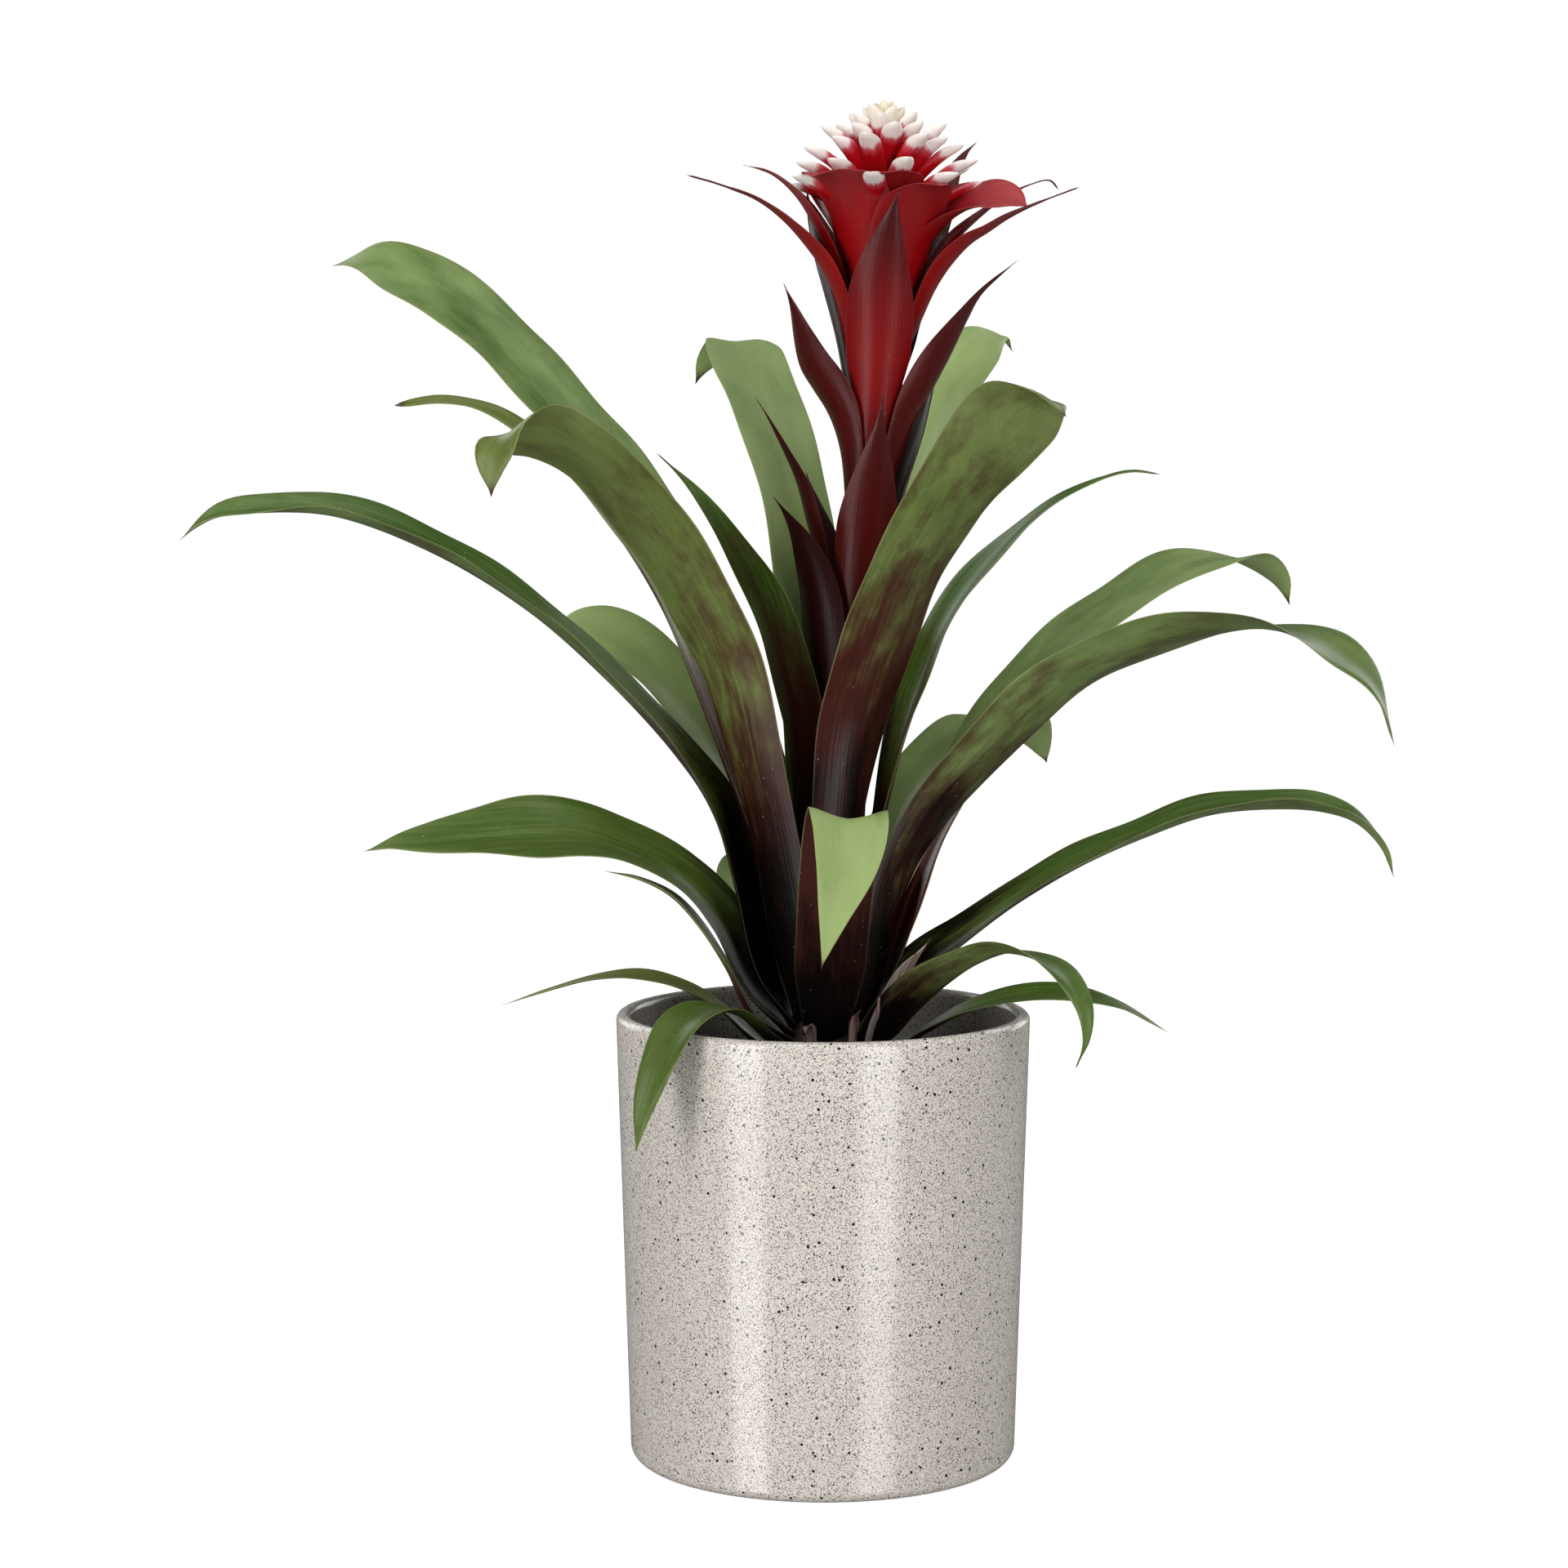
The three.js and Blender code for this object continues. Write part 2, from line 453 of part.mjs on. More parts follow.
// The thin grower pot, standing in the cover pot, with a turned-out rim and drain holes.
function growerPot() {
  const rimDrop = 5;
  const rimOut = 2.5;
  const floor = GROWER_FOOT_Z + GROWER_WALL;
  const profile = [
    [0, GROWER_FOOT_Z],
    [GROWER_RADIUS_FOOT, GROWER_FOOT_Z],
    [growerRadius(GROWER_RIM_Z - rimDrop), GROWER_RIM_Z - rimDrop],
    [GROWER_RADIUS_TOP + rimOut, GROWER_RIM_Z - rimDrop],
    [GROWER_RADIUS_TOP + rimOut, GROWER_RIM_Z],
    [GROWER_RADIUS_TOP - GROWER_WALL, GROWER_RIM_Z],
    [growerRadius(floor) - GROWER_WALL, floor],
    [0, floor],
  ];
  let solid = toSolid(lathe(profile, GROWER_SIDES));
  for (let k = 0; k < DRAIN_HOLES; k++) {
    const turn = (2 * Math.PI * k) / DRAIN_HOLES;
    const drill = new THREE.CylinderGeometry(DRAIN_RADIUS, DRAIN_RADIUS, 10, 12);
    drill.rotateX(Math.PI / 2);
    drill.translate(DRAIN_RING * Math.cos(turn), DRAIN_RING * Math.sin(turn), GROWER_FOOT_Z);
    solid = solid.subtract(toSolid(drill));
  }
  return part("grower_pot", toGeometry(solid), GROWER_PLASTIC());
}

// The peat plug that fills the grower pot, slightly crowned, with a plain hole for the stump.
function soil() {
  const foot = GROWER_FOOT_Z + GROWER_WALL + FIT;
  const hole = STUMP_RADIUS + FIT;
  const holeFloor = STUMP_FOOT_Z - FIT;
  const edge = (z) => growerRadius(z) - GROWER_WALL - FIT;
  const profile = [
    [0, foot],
    [edge(foot), foot],
    [edge(SOIL_TOP - SOIL_CROWN), SOIL_TOP - SOIL_CROWN],
    [(hole + edge(SOIL_TOP)) / 2, SOIL_TOP - SOIL_CROWN / 3],
    [hole, SOIL_TOP],
    [hole, holeFloor],
    [0, holeFloor],
  ];
  return part("soil", lathe(profile, GROWER_SIDES), PEAT());
}

// The stem: a round stump in the soil, the conical crown, and the thin leaning flower stem.
function stem() {
  const sides = STEM_SIDES;
  const levels = [STUMP_FOOT_Z];
  for (let i = 0; i < CROWN_STEPS; i++) levels.push(mix(CROWN_FOOT_Z, CROWN_TOP_Z, i / CROWN_STEPS));
  for (let i = 0; i <= STEM_STEPS; i++) levels.push(mix(CROWN_TOP_Z, STEM_TOP_Z, i / STEM_STEPS));
  const points = [];
  const index = [];
  levels.forEach((z) => {
    const radius = z < CROWN_TOP_Z ? crownRadius(z) : stemRadius(z);
    for (let k = 0; k < sides; k++) {
      const turn = (2 * Math.PI * k) / sides;
      points.push(new THREE.Vector3(stemX(z) + radius * Math.cos(turn), radius * Math.sin(turn), z));
    }
  });
  const ring = (i, k) => i * sides + (k % sides);
  for (let i = 0; i + 1 < levels.length; i++)
    for (let k = 0; k < sides; k++) {
      index.push(ring(i, k), ring(i, k + 1), ring(i + 1, k + 1));
      index.push(ring(i, k), ring(i + 1, k + 1), ring(i + 1, k));
    }
  const last = levels.length - 1;
  for (let k = 1; k + 1 < sides; k++) {
    index.push(ring(0, 0), ring(0, k + 1), ring(0, k));
    index.push(ring(last, 0), ring(last, k), ring(last, k + 1));
  }
  const geometry = new THREE.BufferGeometry().setFromPoints(points);
  geometry.setIndex(index);
  return part("stem", geometry, STEM_SKIN());
}

// The flower head: a core with its spiral of fleshy bracts, all one body.
function flowerHead() {
  const origin = new THREE.Vector3(STEM_LEAN, 0, 0);
  const core = lathe(
    [
      [0, HEAD_CORE_FOOT_Z],
      [STEM_RADIUS_HIGH, HEAD_CORE_FOOT_Z],
      [HEAD_CORE_RADIUS * 0.8, HEAD_FOOT_LOW_Z + 6],
      [HEAD_CORE_RADIUS, HEAD_FOOT_LOW_Z + 18],
      [HEAD_CORE_RADIUS * 0.6, HEAD_CORE_TOP_Z],
      [0, HEAD_CORE_TOP_Z + 2],
    ],
    10,
  );
  let solid = toSolid(core.translate(STEM_LEAN, 0, 0));
  for (let k = 0; k < HEAD_BRACTS; k++) solid = solid.add(toSolid(headBract(k / (HEAD_BRACTS - 1), k, origin)));
  return part("flower_head", toGeometry(solid), HEAD_RED());
}

// One bract of the head; rise runs from 0 at the foot of the head to 1 at its crown.
function headBract(rise, k, origin) {
  const tipRadius = HEAD_TIP_RADIUS * Math.cos((Math.PI / 2) * rise ** 0.9) + 2;
  const tipZ = mix(HEAD_RIM_Z, HEAD_TIP_Z, Math.sin((Math.PI / 2) * rise ** 0.8));
  const footZ = mix(HEAD_FOOT_LOW_Z, HEAD_FOOT_HIGH_Z, rise);
  const footRadius = 3;
  const reach = tipRadius - footRadius;
  return bladeGeometry(
    {
      heading: k * GOLDEN_ANGLE,
      rows: 4,
      cells: 2,
      thick: HEAD_BRACT_THICK,
      footWidth: HEAD_BRACT_WIDTH * 0.7,
      neck: HEAD_BRACT_WIDTH * 0.9,
      blade: HEAD_BRACT_WIDTH * mix(1, 0.75, rise),
      neckAt: 0.3,
      bladeAt: 0.5,
      taperAt: 0.55,
      tipPower: 0.6,
      footWrap: 40,
      gutterNeck: 38,
      gutterTip: 25,
      spine: [
        [footRadius, footZ],
        [footRadius + reach * 0.45, mix(footZ, tipZ, 0.6)],
        [footRadius + reach * 0.8, mix(footZ, tipZ, 0.9)],
        [tipRadius, tipZ],
      ],
    },
    origin,
  );
}

const guzmania = new THREE.Group();
guzmania.add(coverPot(), growerPot(), soil(), stem());
for (const leaf of foliageBlades())
  guzmania.add(part(leaf.name, bladeGeometry(leaf, new THREE.Vector3()), LEAF_GREEN()));
for (const bract of STEM_BRACTS) {
  const origin = new THREE.Vector3(stemX(bract.foot), 0, 0);
  guzmania.add(part(bract.name, bladeGeometry(stemBract(bract), origin), BRACT_RED()));
}
guzmania.add(flowerHead());

export default guzmania;
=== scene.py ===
# %% [markdown]
# # A potted guzmania
# The plant is a bromeliad: a rosette of strap leaves, a leafy flower stem that leans a little, and a
# star-shaped flower head with white-tipped bracts. It grows in a plastic pot that stands inside a
# speckled, glazed cover pot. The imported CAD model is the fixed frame: each of its solids is stood for by
# one finer surface below. Loose bark and a few dry scraps are added. Lengths are in millimetres, apart
# from those of lights and materials, which are in metres, and angles are in degrees.

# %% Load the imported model
import math

import bpy
import numpy as np
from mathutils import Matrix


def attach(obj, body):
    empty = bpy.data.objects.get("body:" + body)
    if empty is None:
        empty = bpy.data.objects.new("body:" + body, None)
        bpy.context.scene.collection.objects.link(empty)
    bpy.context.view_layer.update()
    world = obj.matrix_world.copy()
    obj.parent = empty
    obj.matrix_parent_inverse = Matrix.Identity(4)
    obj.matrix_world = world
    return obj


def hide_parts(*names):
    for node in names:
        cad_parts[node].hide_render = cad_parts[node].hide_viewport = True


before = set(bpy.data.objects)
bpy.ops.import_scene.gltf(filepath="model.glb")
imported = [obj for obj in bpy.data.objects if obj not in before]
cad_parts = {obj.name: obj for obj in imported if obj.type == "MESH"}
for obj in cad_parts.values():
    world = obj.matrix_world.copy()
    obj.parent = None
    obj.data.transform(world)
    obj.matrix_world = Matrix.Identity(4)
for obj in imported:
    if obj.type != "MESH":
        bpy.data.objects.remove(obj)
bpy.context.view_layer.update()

MM = 0.001

# %% [markdown]
# ## Camera
# A camera could be placed by eye, but its place can also be worked out: the ellipses of the pot's rim and
# foot and the taper of its wall fit only one place. That is 1.2 m away and 333 mm up, looking down by about
# 5 degrees with an 82 mm lens. It is made first, so that every later choice can be looked at from there.

# %% Camera
CAMERA_DISTANCE = 1200
CAMERA_HEIGHT = 333
CAMERA_DOWN = 4.95
CAMERA_LEFT = 0.63
LENS = 82.1
SENSOR_WIDTH = 36.0

camera_data = bpy.data.cameras.new("camera")
camera_data.lens = LENS
camera_data.sensor_width = SENSOR_WIDTH
camera = bpy.data.objects.new("camera", camera_data)
camera.location = (0.0, -CAMERA_DISTANCE * MM, CAMERA_HEIGHT * MM)
camera.rotation_euler = (math.radians(90 - CAMERA_DOWN), 0.0, math.radians(CAMERA_LEFT))
bpy.context.scene.collection.objects.link(camera)
bpy.context.scene.camera = camera
bpy.context.scene.view_settings.view_transform = "Standard"
print("camera at", tuple(round(v, 3) for v in camera.location))

# %% [markdown]
# ## Tools for shader nodes
# A material is a small graph of nodes. Made by hand, each node takes three lines, so short helpers keep the
# graphs easy to read. A colour is picked as it looks on screen (0 to 255) and turned into the linear
# numbers that shaders use. A mask is a number from 0 to 1 that changes over the surface, and most of a
# finish is one colour blended into another by a mask.

# %% Colours and nodes
def picked(red, green, blue):
    """A colour as seen on screen, 0 to 255, as linear numbers: with c from 0 to 1, ((c + 0.055) / 1.055) to
    the power 2.4, or c / 12.92 where it is nearly black."""
    screen = np.array([red, green, blue]) / 255.0
    linear = np.where(screen <= 0.04045, screen / 12.92, ((screen + 0.055) / 1.055) ** 2.4)
    return (*linear.tolist(), 1.0)


def node(tree, kind, inputs=None, **settings):
    """Adds a node. inputs maps a socket's name or number to a value, or to the output it is fed by."""
    made = tree.nodes.new(kind)
    for key, value in settings.items():
        setattr(made, key, value)
    for key, value in (inputs or {}).items():
        if isinstance(value, bpy.types.NodeSocket):
            tree.links.new(value, made.inputs[key])
        else:
            made.inputs[key].default_value = value
    return made


print("mid grey on screen is", round(picked(128, 128, 128)[0], 3), "to a shader")


# %% Sums, masks and blends
def maths(tree, operation, first, second=0.0):
    """One arithmetic step on a mask or a number that changes over the surface."""
    made = node(tree, "ShaderNodeMath", {0: first, 1: second}, operation=operation)
    return made.outputs[0]


def plus(tree, first, second):
    """The sum of two numbers that change over the surface."""
    return maths(tree, "ADD", first, second)


def times(tree, first, second):
    """The product of two numbers that change over the surface."""
    return maths(tree, "MULTIPLY", first, second)


def ramp(tree, value, low, high, start=0.0, end=1.0):
    """A soft step: start where value is below low, end where it is above high, eased between."""
    inputs = {"Value": value, "From Min": low, "From Max": high, "To Min": start, "To Max": end}
    return node(tree, "ShaderNodeMapRange", inputs, interpolation_type="SMOOTHSTEP").outputs[0]


def blend(tree, factor, first, second):
    """Mixes two colours: the first where the factor is 0, the second where it is 1."""
    made = node(tree, "ShaderNodeMix", data_type="RGBA")
    for socket, value in ((made.inputs[0], factor), (made.inputs[6], first), (made.inputs[7], second)):
        if isinstance(value, bpy.types.NodeSocket):
            tree.links.new(value, socket)
        else:
            socket.default_value = value
    return made.outputs[2]


def noise(tree, vector, scale, detail=2.0, roughness=0.5):
    """Cloud-like noise between 0 and 1."""
    inputs = {"Vector": vector, "Scale": scale, "Detail": detail, "Roughness": roughness}
    return node(tree, "ShaderNodeTexNoise", inputs).outputs["Fac"]


# %% Materials
def object_place(tree):
    """The place of a point on the object itself, in metres."""
    return node(tree, "ShaderNodeTexCoord").outputs["Object"]


def axes(tree, vector):
    """The X, Y and Z of a vector, as outputs."""
    return node(tree, "ShaderNodeSeparateXYZ", {0: vector}).outputs


def new_material(name, **sockets):
    """A new node material. The sockets named are constants of its Principled shader. Returns the material,
    its tree and the shader."""
    material = bpy.data.materials.new(name)
    material.use_nodes = True
    tree = material.node_tree
    shader = tree.nodes["Principled BSDF"]
    for key, value in sockets.items():
        shader.inputs[key.replace("_", " ")].default_value = value
    return material, tree, shader


def feed(tree, shader, colour=None, roughness=None, height=None, depth=0.0002):
    """Joins a colour, a roughness and a bump height, with its real depth in metres, to a shader."""
    if colour is not None:
        tree.links.new(colour, shader.inputs["Base Color"])
    if roughness is not None:
        tree.links.new(roughness, shader.inputs["Roughness"])
    if height is not None:
        bump = node(tree, "ShaderNodeBump", {"Strength": 1.0, "Distance": depth, "Height": height})
        tree.links.new(bump.outputs[0], shader.inputs["Normal"])


# %% [markdown]
# ## Tools for meshes
# Turned and leaf-like shapes could be built with modifiers on a few points. Here each surface is a grid of
# points that numpy works out all at once, because the formula then says the shape exactly. A ring of
# points is carried along a path, so the mesh is a closed tube with its two ends capped. For a leaf the ring
# runs across the upper face and back across the lower face.

# %% Rings of points
def ease(x):
    """0 to 1 with level ends: x squared times (3 - 2x), with x held between 0 and 1."""
    x = np.clip(x, 0.0, 1.0)
    return x * x * (3.0 - 2.0 * x)


def circles(radius, height, sides, centre_x=0.0):
    """Level circles of points, one to a row: x = centre_x + radius cos, y = radius sin, z = height."""
    turn = np.linspace(0, 2 * np.pi, sides, endpoint=False)
    radius, height, centre_x = (np.reshape(value, (-1, 1)) for value in (radius, height, centre_x))
    x = centre_x + radius * np.cos(turn)
    return np.stack([x, radius * np.sin(turn), np.broadcast_to(height, x.shape)], -1)


print("four points of a circle:", circles([1.0], [0.0], 4).round(3).tolist())


# %% Faces
def tube_faces(rings, around):
    """Quads between neighbouring rings of points, each ring closed on itself."""
    ring, k = np.meshgrid(np.arange(rings - 1), np.arange(around), indexing="ij")
    here = ring * around + k
    beside = ring * around + (k + 1) % around
    return np.stack([here, beside, beside + around, here + around], -1).reshape(-1, 4)


def cap_faces(first, around):
    """Quads that close a ring: each joins a stretch of its first half to the stretch facing it."""
    k = np.arange(around // 2 - 1)
    return first + np.stack([k, k + 1, around - 2 - k, around - 1 - k], -1)


def closed_tube(rings, around, first=0):
    """The faces of a tube whose points start at number first: its side and its two end caps."""
    foot, tip = cap_faces(0, around), cap_faces((rings - 1) * around, around)
    return first + np.vstack([tube_faces(rings, around), foot[:, ::-1], tip])


def signed_volume(points, quads):
    """Six times the volume that the quads close in; below zero when they face inwards."""
    a, b, c, d = (points[quads[:, i]] for i in range(4))
    return float(np.sum(a * np.cross(b, c)) + np.sum(a * np.cross(c, d)))


print("a closed tube of 3 rings of 8 points has", len(closed_tube(3, 8)), "faces")


# %% Pieces
def new_piece(name, points, quads, material, attributes=None):
    """Puts points in millimetres and quads into a mesh piece with smooth faces that point outwards."""
    points = np.asarray(points, dtype=np.float64).reshape(-1, 3)
    if signed_volume(points, quads) < 0:
        quads = quads[:, ::-1]
    mesh = bpy.data.meshes.new(name)
    mesh.vertices.add(len(points))
    mesh.vertices.foreach_set("co", (points * MM).astype(np.float32).ravel())
    mesh.loops.add(quads.size)
    mesh.loops.foreach_set("vertex_index", quads.astype(np.int32).ravel())
    mesh.polygons.add(len(quads))
    mesh.polygons.foreach_set("loop_start", np.arange(0, quads.size, 4, dtype=np.int32))
    mesh.polygons.foreach_set("loop_total", np.full(len(quads), 4, dtype=np.int32))
    mesh.update(calc_edges=True)
    for key, values in (attributes or {}).items():
        layer = mesh.attributes.new(key, "FLOAT_VECTOR", "POINT")
        layer.data.foreach_set("vector", values.astype(np.float32).ravel())
    mesh.shade_smooth()
    mesh.materials.append(material)
    piece = bpy.data.objects.new(name, mesh)
    bpy.context.scene.collection.objects.link(piece)
    return piece


def place(piece, node_name, slot):
    """Every piece rides on the one body, and the CAD node that it stands for is hidden. Its finish slot is
    only printed. Most stand for one CAD node.
    """
    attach(piece, "root")
    if node_name:
        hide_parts(node_name)
    print(piece.name, "with", len(piece.data.polygons), "faces, slot", slot)


# %% [markdown]
# ## Floor and light
# The plant stands on plain white that has no edge. The floor is a wide matt disc. A paper sweep would do
# the same, but a disc looks alike from every side. It glows a little towards the camera alone, so it stays
# white without lighting the plant from below.

# %% Floor
FLOOR_RADIUS = 1600.0
FLOOR_SIDES = 64
FLOOR_GLOW = 0.82


def make_floor():
    """A flat disc of three circles: the middle point, half the radius and the edge."""
    points = circles(FLOOR_RADIUS * np.array([0.0, 0.5, 1.0]), np.zeros(3), FLOOR_SIDES)
    material, tree, shader = new_material("floor_paint", Roughness=0.9, Specular_IOR_Level=0.0)
    cloud = noise(tree, object_place(tree), 3.0)
    feed(tree, shader, blend(tree, cloud, picked(196, 196, 195), picked(200, 200, 199)))
    shader.inputs["Emission Color"].default_value = (1.0, 1.0, 1.0, 1.0)
    seen = node(tree, "ShaderNodeLightPath").outputs["Is Camera Ray"]
    tree.links.new(times(tree, seen, FLOOR_GLOW), shader.inputs["Emission Strength"])
    floor = new_piece("floor", points, tube_faces(3, FLOOR_SIDES)[:, ::-1], material)
    floor.visible_glossy = False


make_floor()
print("floor radius in mm:", FLOOR_RADIUS)

# %% [markdown]
# The glaze shows two soft upright highlights, one to each side of the middle. A round pot mirrors a light
# at twice the angle at which its highlight stands, so two tall soft boxes stand at 43 degrees on the left
# and 31 degrees on the right of the camera. A broad box hangs overhead for the upper faces of the leaves,
# two stand behind for the rims, and a white room fills the shadows. A picture of a real room could light
# it too, but area lights keep the two highlights clean.

# %% Lights
AIM_HEIGHT = 0.24
ROOM_LIGHT = 0.14
ROOM_SEEN = 1.05

# Name, azimuth in degrees, distance, height, width and length in metres, and power in watts.
LIGHTS = (
    ("box_left", -43, 1.7, 0.24, 0.62, 3.2, 32),
    ("box_right", 31, 1.7, 0.24, 0.62, 3.2, 27),
    ("box_top", 10, 0.35, 1.9, 1.5, 1.5, 9),
    ("box_back_left", -140, 1.8, 0.9, 1.0, 1.4, 9),
    ("box_back_right", 140, 1.8, 0.9, 1.0, 1.4, 9),
)


def soft_box(name, azimuth, distance, height, width, tall, watts):
    """A rectangular area light aimed at the plant. Azimuth 0 is the camera's side, 90 is the right."""
    data = bpy.data.lights.new(name, "AREA")
    data.shape = "RECTANGLE"
    data.size = width
    data.size_y = tall
    data.energy = watts
    light = bpy.data.objects.new(name, data)
    turn = math.radians(azimuth)
    light.location = (distance * math.sin(turn), -distance * math.cos(turn), height)
    aim = np.array([0.0, 0.0, AIM_HEIGHT]) - np.array(light.location)
    tilt = math.atan2(math.hypot(aim[0], aim[1]), -aim[2])
    light.rotation_euler = (tilt, 0.0, math.atan2(aim[1], aim[0]) - math.pi / 2)
    light.visible_camera = False
    bpy.context.scene.collection.objects.link(light)


def white_room():
    """A world that is plain white where it is seen and dim where it only lights the plant."""
    world = bpy.data.worlds.new("white_room")
    world.use_nodes = True
    tree = world.node_tree
    seen = node(tree, "ShaderNodeLightPath").outputs["Is Camera Ray"]
    background = tree.nodes["Background"]
    background.inputs["Color"].default_value = (1.0, 1.0, 1.0, 1.0)
    tree.links.new(ramp(tree, seen, 0.0, 1.0, ROOM_LIGHT, ROOM_SEEN), background.inputs["Strength"])
    bpy.context.scene.world = world


for box in LIGHTS:
    soft_box(*box)
white_room()
print("lights:", [box[0] for box in LIGHTS])

# %% [markdown]
# ## Cover pot
# The pot is slip-cast, with a glossy, warm light grey glaze. The wall is one closed profile turned round
# the axis. The lip is rounded, as a glazed lip is, and the foot has a small radius above a flat ring. A
# Screw modifier would turn a profile too, but a grid made in one go needs no clean-up on the axis: its
# ends stop just short of it and are capped.

# %% Turned profiles
NEAR_AXIS = 0.05


def turned(name, profile, sides, material):
    """Turns a closed profile of (radius, height) points round Z."""
    points = circles(*np.array(profile, dtype=float).T, sides)
    return new_piece(name, points, closed_tube(len(profile), sides), material)


def arc(centre, radius, start, end, count):
    """Points on a circle arc of a profile, angles in degrees from the outward direction."""
    angle = np.radians(np.linspace(start, end, count))
    return [(centre[0] + radius * c, centre[1] + radius * s) for c, s in zip(np.cos(angle), np.sin(angle))]


def line(start, end, count):
    """Points on a straight stretch of a profile, without its ends."""
    t = np.linspace(0, 1, count + 2)[1:-1, None]
    return [tuple(p) for p in np.array(start) + t * (np.array(end) - np.array(start))]


POT_HEIGHT = 152.0
POT_RADIUS_TOP = 70.0
POT_RADIUS_FOOT = 65.5
POT_WALL = 5.0
POT_FLOOR = 8.0
FOOT_ROUND = 4.0
FOOT_RING = 58.0
FOOT_RECESS = 1.0
POT_SIDES = 192
print("cover pot:", 2 * POT_RADIUS_TOP, "mm across and", POT_HEIGHT, "mm high")

# %% [markdown]
# The glaze could be a picture wrapped round the pot, but noise on the pot's own coordinates has no seam.
# The many fine dark specks, and here and there a black one of about a millimetre, are cells of three
# sizes: each cell holds a dot, and its size is a share of the cell. The inner wall has painted shade.

# %% Glaze
# Each kind of speck: cells in a metre, the speck's radius as a share of a cell, and its colour.
SPECKS = (
    (1000.0, 0.26, (70, 64, 59)),
    (520.0, 0.19, (40, 37, 34)),
    (230.0, 0.15, (14, 13, 12)),
)
GRAIN_SCALE = 2100.0
# How dark the painted shade on the inner wall is, and how deep into the wall, in metres, it is full and
# gone.
INNER_PAINTED_SHADE = 0.6
PAINTED_SHADE_FROM = 0.0008
PAINTED_SHADE_TO = 0.0022


def inner_wall_shade(tree, position):
    """A mask for painted shade on the inner wall: sqrt(x x + y y) less the wall's taper at that height is
    the radius at the foot. The shade is painted as deep as PAINTED_SHADE_FROM metres into the wall, and is
    gone from PAINTED_SHADE_TO."""
    parts = axes(tree, position)
    squares = plus(tree, maths(tree, "POWER", parts["X"], 2.0), maths(tree, "POWER", parts["Y"], 2.0))
    taper = times(tree, parts["Z"], (POT_RADIUS_TOP - POT_RADIUS_FOOT) / POT_HEIGHT)
    at_foot = maths(tree, "SUBTRACT", maths(tree, "SQRT", squares), taper)
    inner = (POT_RADIUS_FOOT - POT_WALL) * MM
    return ramp(tree, at_foot, inner + PAINTED_SHADE_FROM, inner + PAINTED_SHADE_TO, INNER_PAINTED_SHADE, 0.0)


def pot_glaze():
    """Glossy glaze: a faint cloud of tone, a fine grain, three sizes of dark speck, painted shade on the
    inner wall and a slight ripple."""
    material, tree, shader = new_material("pot_glaze", IOR=1.6)
    position = object_place(tree)
    cloud = noise(tree, position, 18.0, 3.0)
    grain = ramp(tree, noise(tree, position, GRAIN_SCALE, 3.0, 0.6), 0.48, 0.60, 0.0, 0.8)
    colour = blend(tree, cloud, picked(246, 239, 231), picked(238, 230, 221))
    colour = blend(tree, grain, colour, picked(132, 123, 115))
    for per_metre, radius, tone in SPECKS:
        inputs = {"Vector": position, "Scale": per_metre, "Randomness": 1.0}
        distance = node(tree, "ShaderNodeTexVoronoi", inputs).outputs["Distance"]
        inside = ramp(tree, distance, 0.6 * radius, radius, 1.0, 0.0)
        colour = blend(tree, inside, colour, picked(*tone))
    # Painted shade darkens the inner wall.
    colour = blend(tree, inner_wall_shade(tree, position), colour, picked(44, 40, 36))
    roughness = ramp(tree, cloud, 0.2, 0.8, 0.17, 0.23)
    feed(tree, shader, colour, roughness, noise(tree, position, 45.0, 1.0), 0.00008)
    return material


glaze = pot_glaze()
print("the glaze has", len(glaze.node_tree.nodes), "nodes")


# %% Make the cover pot
def make_cover_pot():
    """The pot's closed profile: flat foot, outer wall, rounded lip, inner wall and flat floor."""
    lip = POT_WALL / 2
    ring_out = POT_RADIUS_FOOT - FOOT_ROUND
    inner_top = POT_RADIUS_TOP - POT_WALL
    inner_foot = POT_RADIUS_FOOT - POT_WALL
    profile = (
        [(NEAR_AXIS, FOOT_RECESS), (FOOT_RING - 1, FOOT_RECESS), (FOOT_RING, 0.0), (ring_out, 0.0)]
        + arc((ring_out, FOOT_ROUND), FOOT_ROUND, -88, -5, 8)
        + line((POT_RADIUS_FOOT, FOOT_ROUND + 0.2), (POT_RADIUS_TOP, POT_HEIGHT - lip), 10)
        + arc((POT_RADIUS_TOP - lip, POT_HEIGHT - lip), lip, 0, 180, 12)
        + line((inner_top, POT_HEIGHT - lip), (inner_foot, POT_FLOOR + FOOT_ROUND), 8)
        + arc((inner_foot - FOOT_ROUND, POT_FLOOR + FOOT_ROUND), FOOT_ROUND, 0, -90, 5)
        + [(NEAR_AXIS, POT_FLOOR)]
    )
    return turned("pot_wall_and_lip", profile, POT_SIDES, glaze)


place(make_cover_pot(), "cover_pot", "glaze")

# %% [markdown]
# ## Grower pot
# The grower pot is thin dark moulded plastic with a step and a rolled rim, and it stands on the floor of
# the cover pot. It could be cut from a cylinder, but it is one more closed profile turned round the axis,
# so the same function makes it.

# %% Grower pot
FIT = 0.35
GROWER_RADIUS_TOP = 57.0
GROWER_RADIUS_FOOT = 45.0
GROWER_WALL = 1.4
GROWER_RIM_Z = 127.0
GROWER_RIM_DEPTH = 5.0
GROWER_RIM_WIDTH = 2.5
GROWER_SIDES = 128
GROWER_FOOT_Z = POT_FLOOR + FIT


def grower_radius(z):
    """The tapered wall's outer radius at a height."""
    return np.interp(z, [GROWER_FOOT_Z, GROWER_RIM_Z], [GROWER_RADIUS_FOOT, GROWER_RADIUS_TOP])


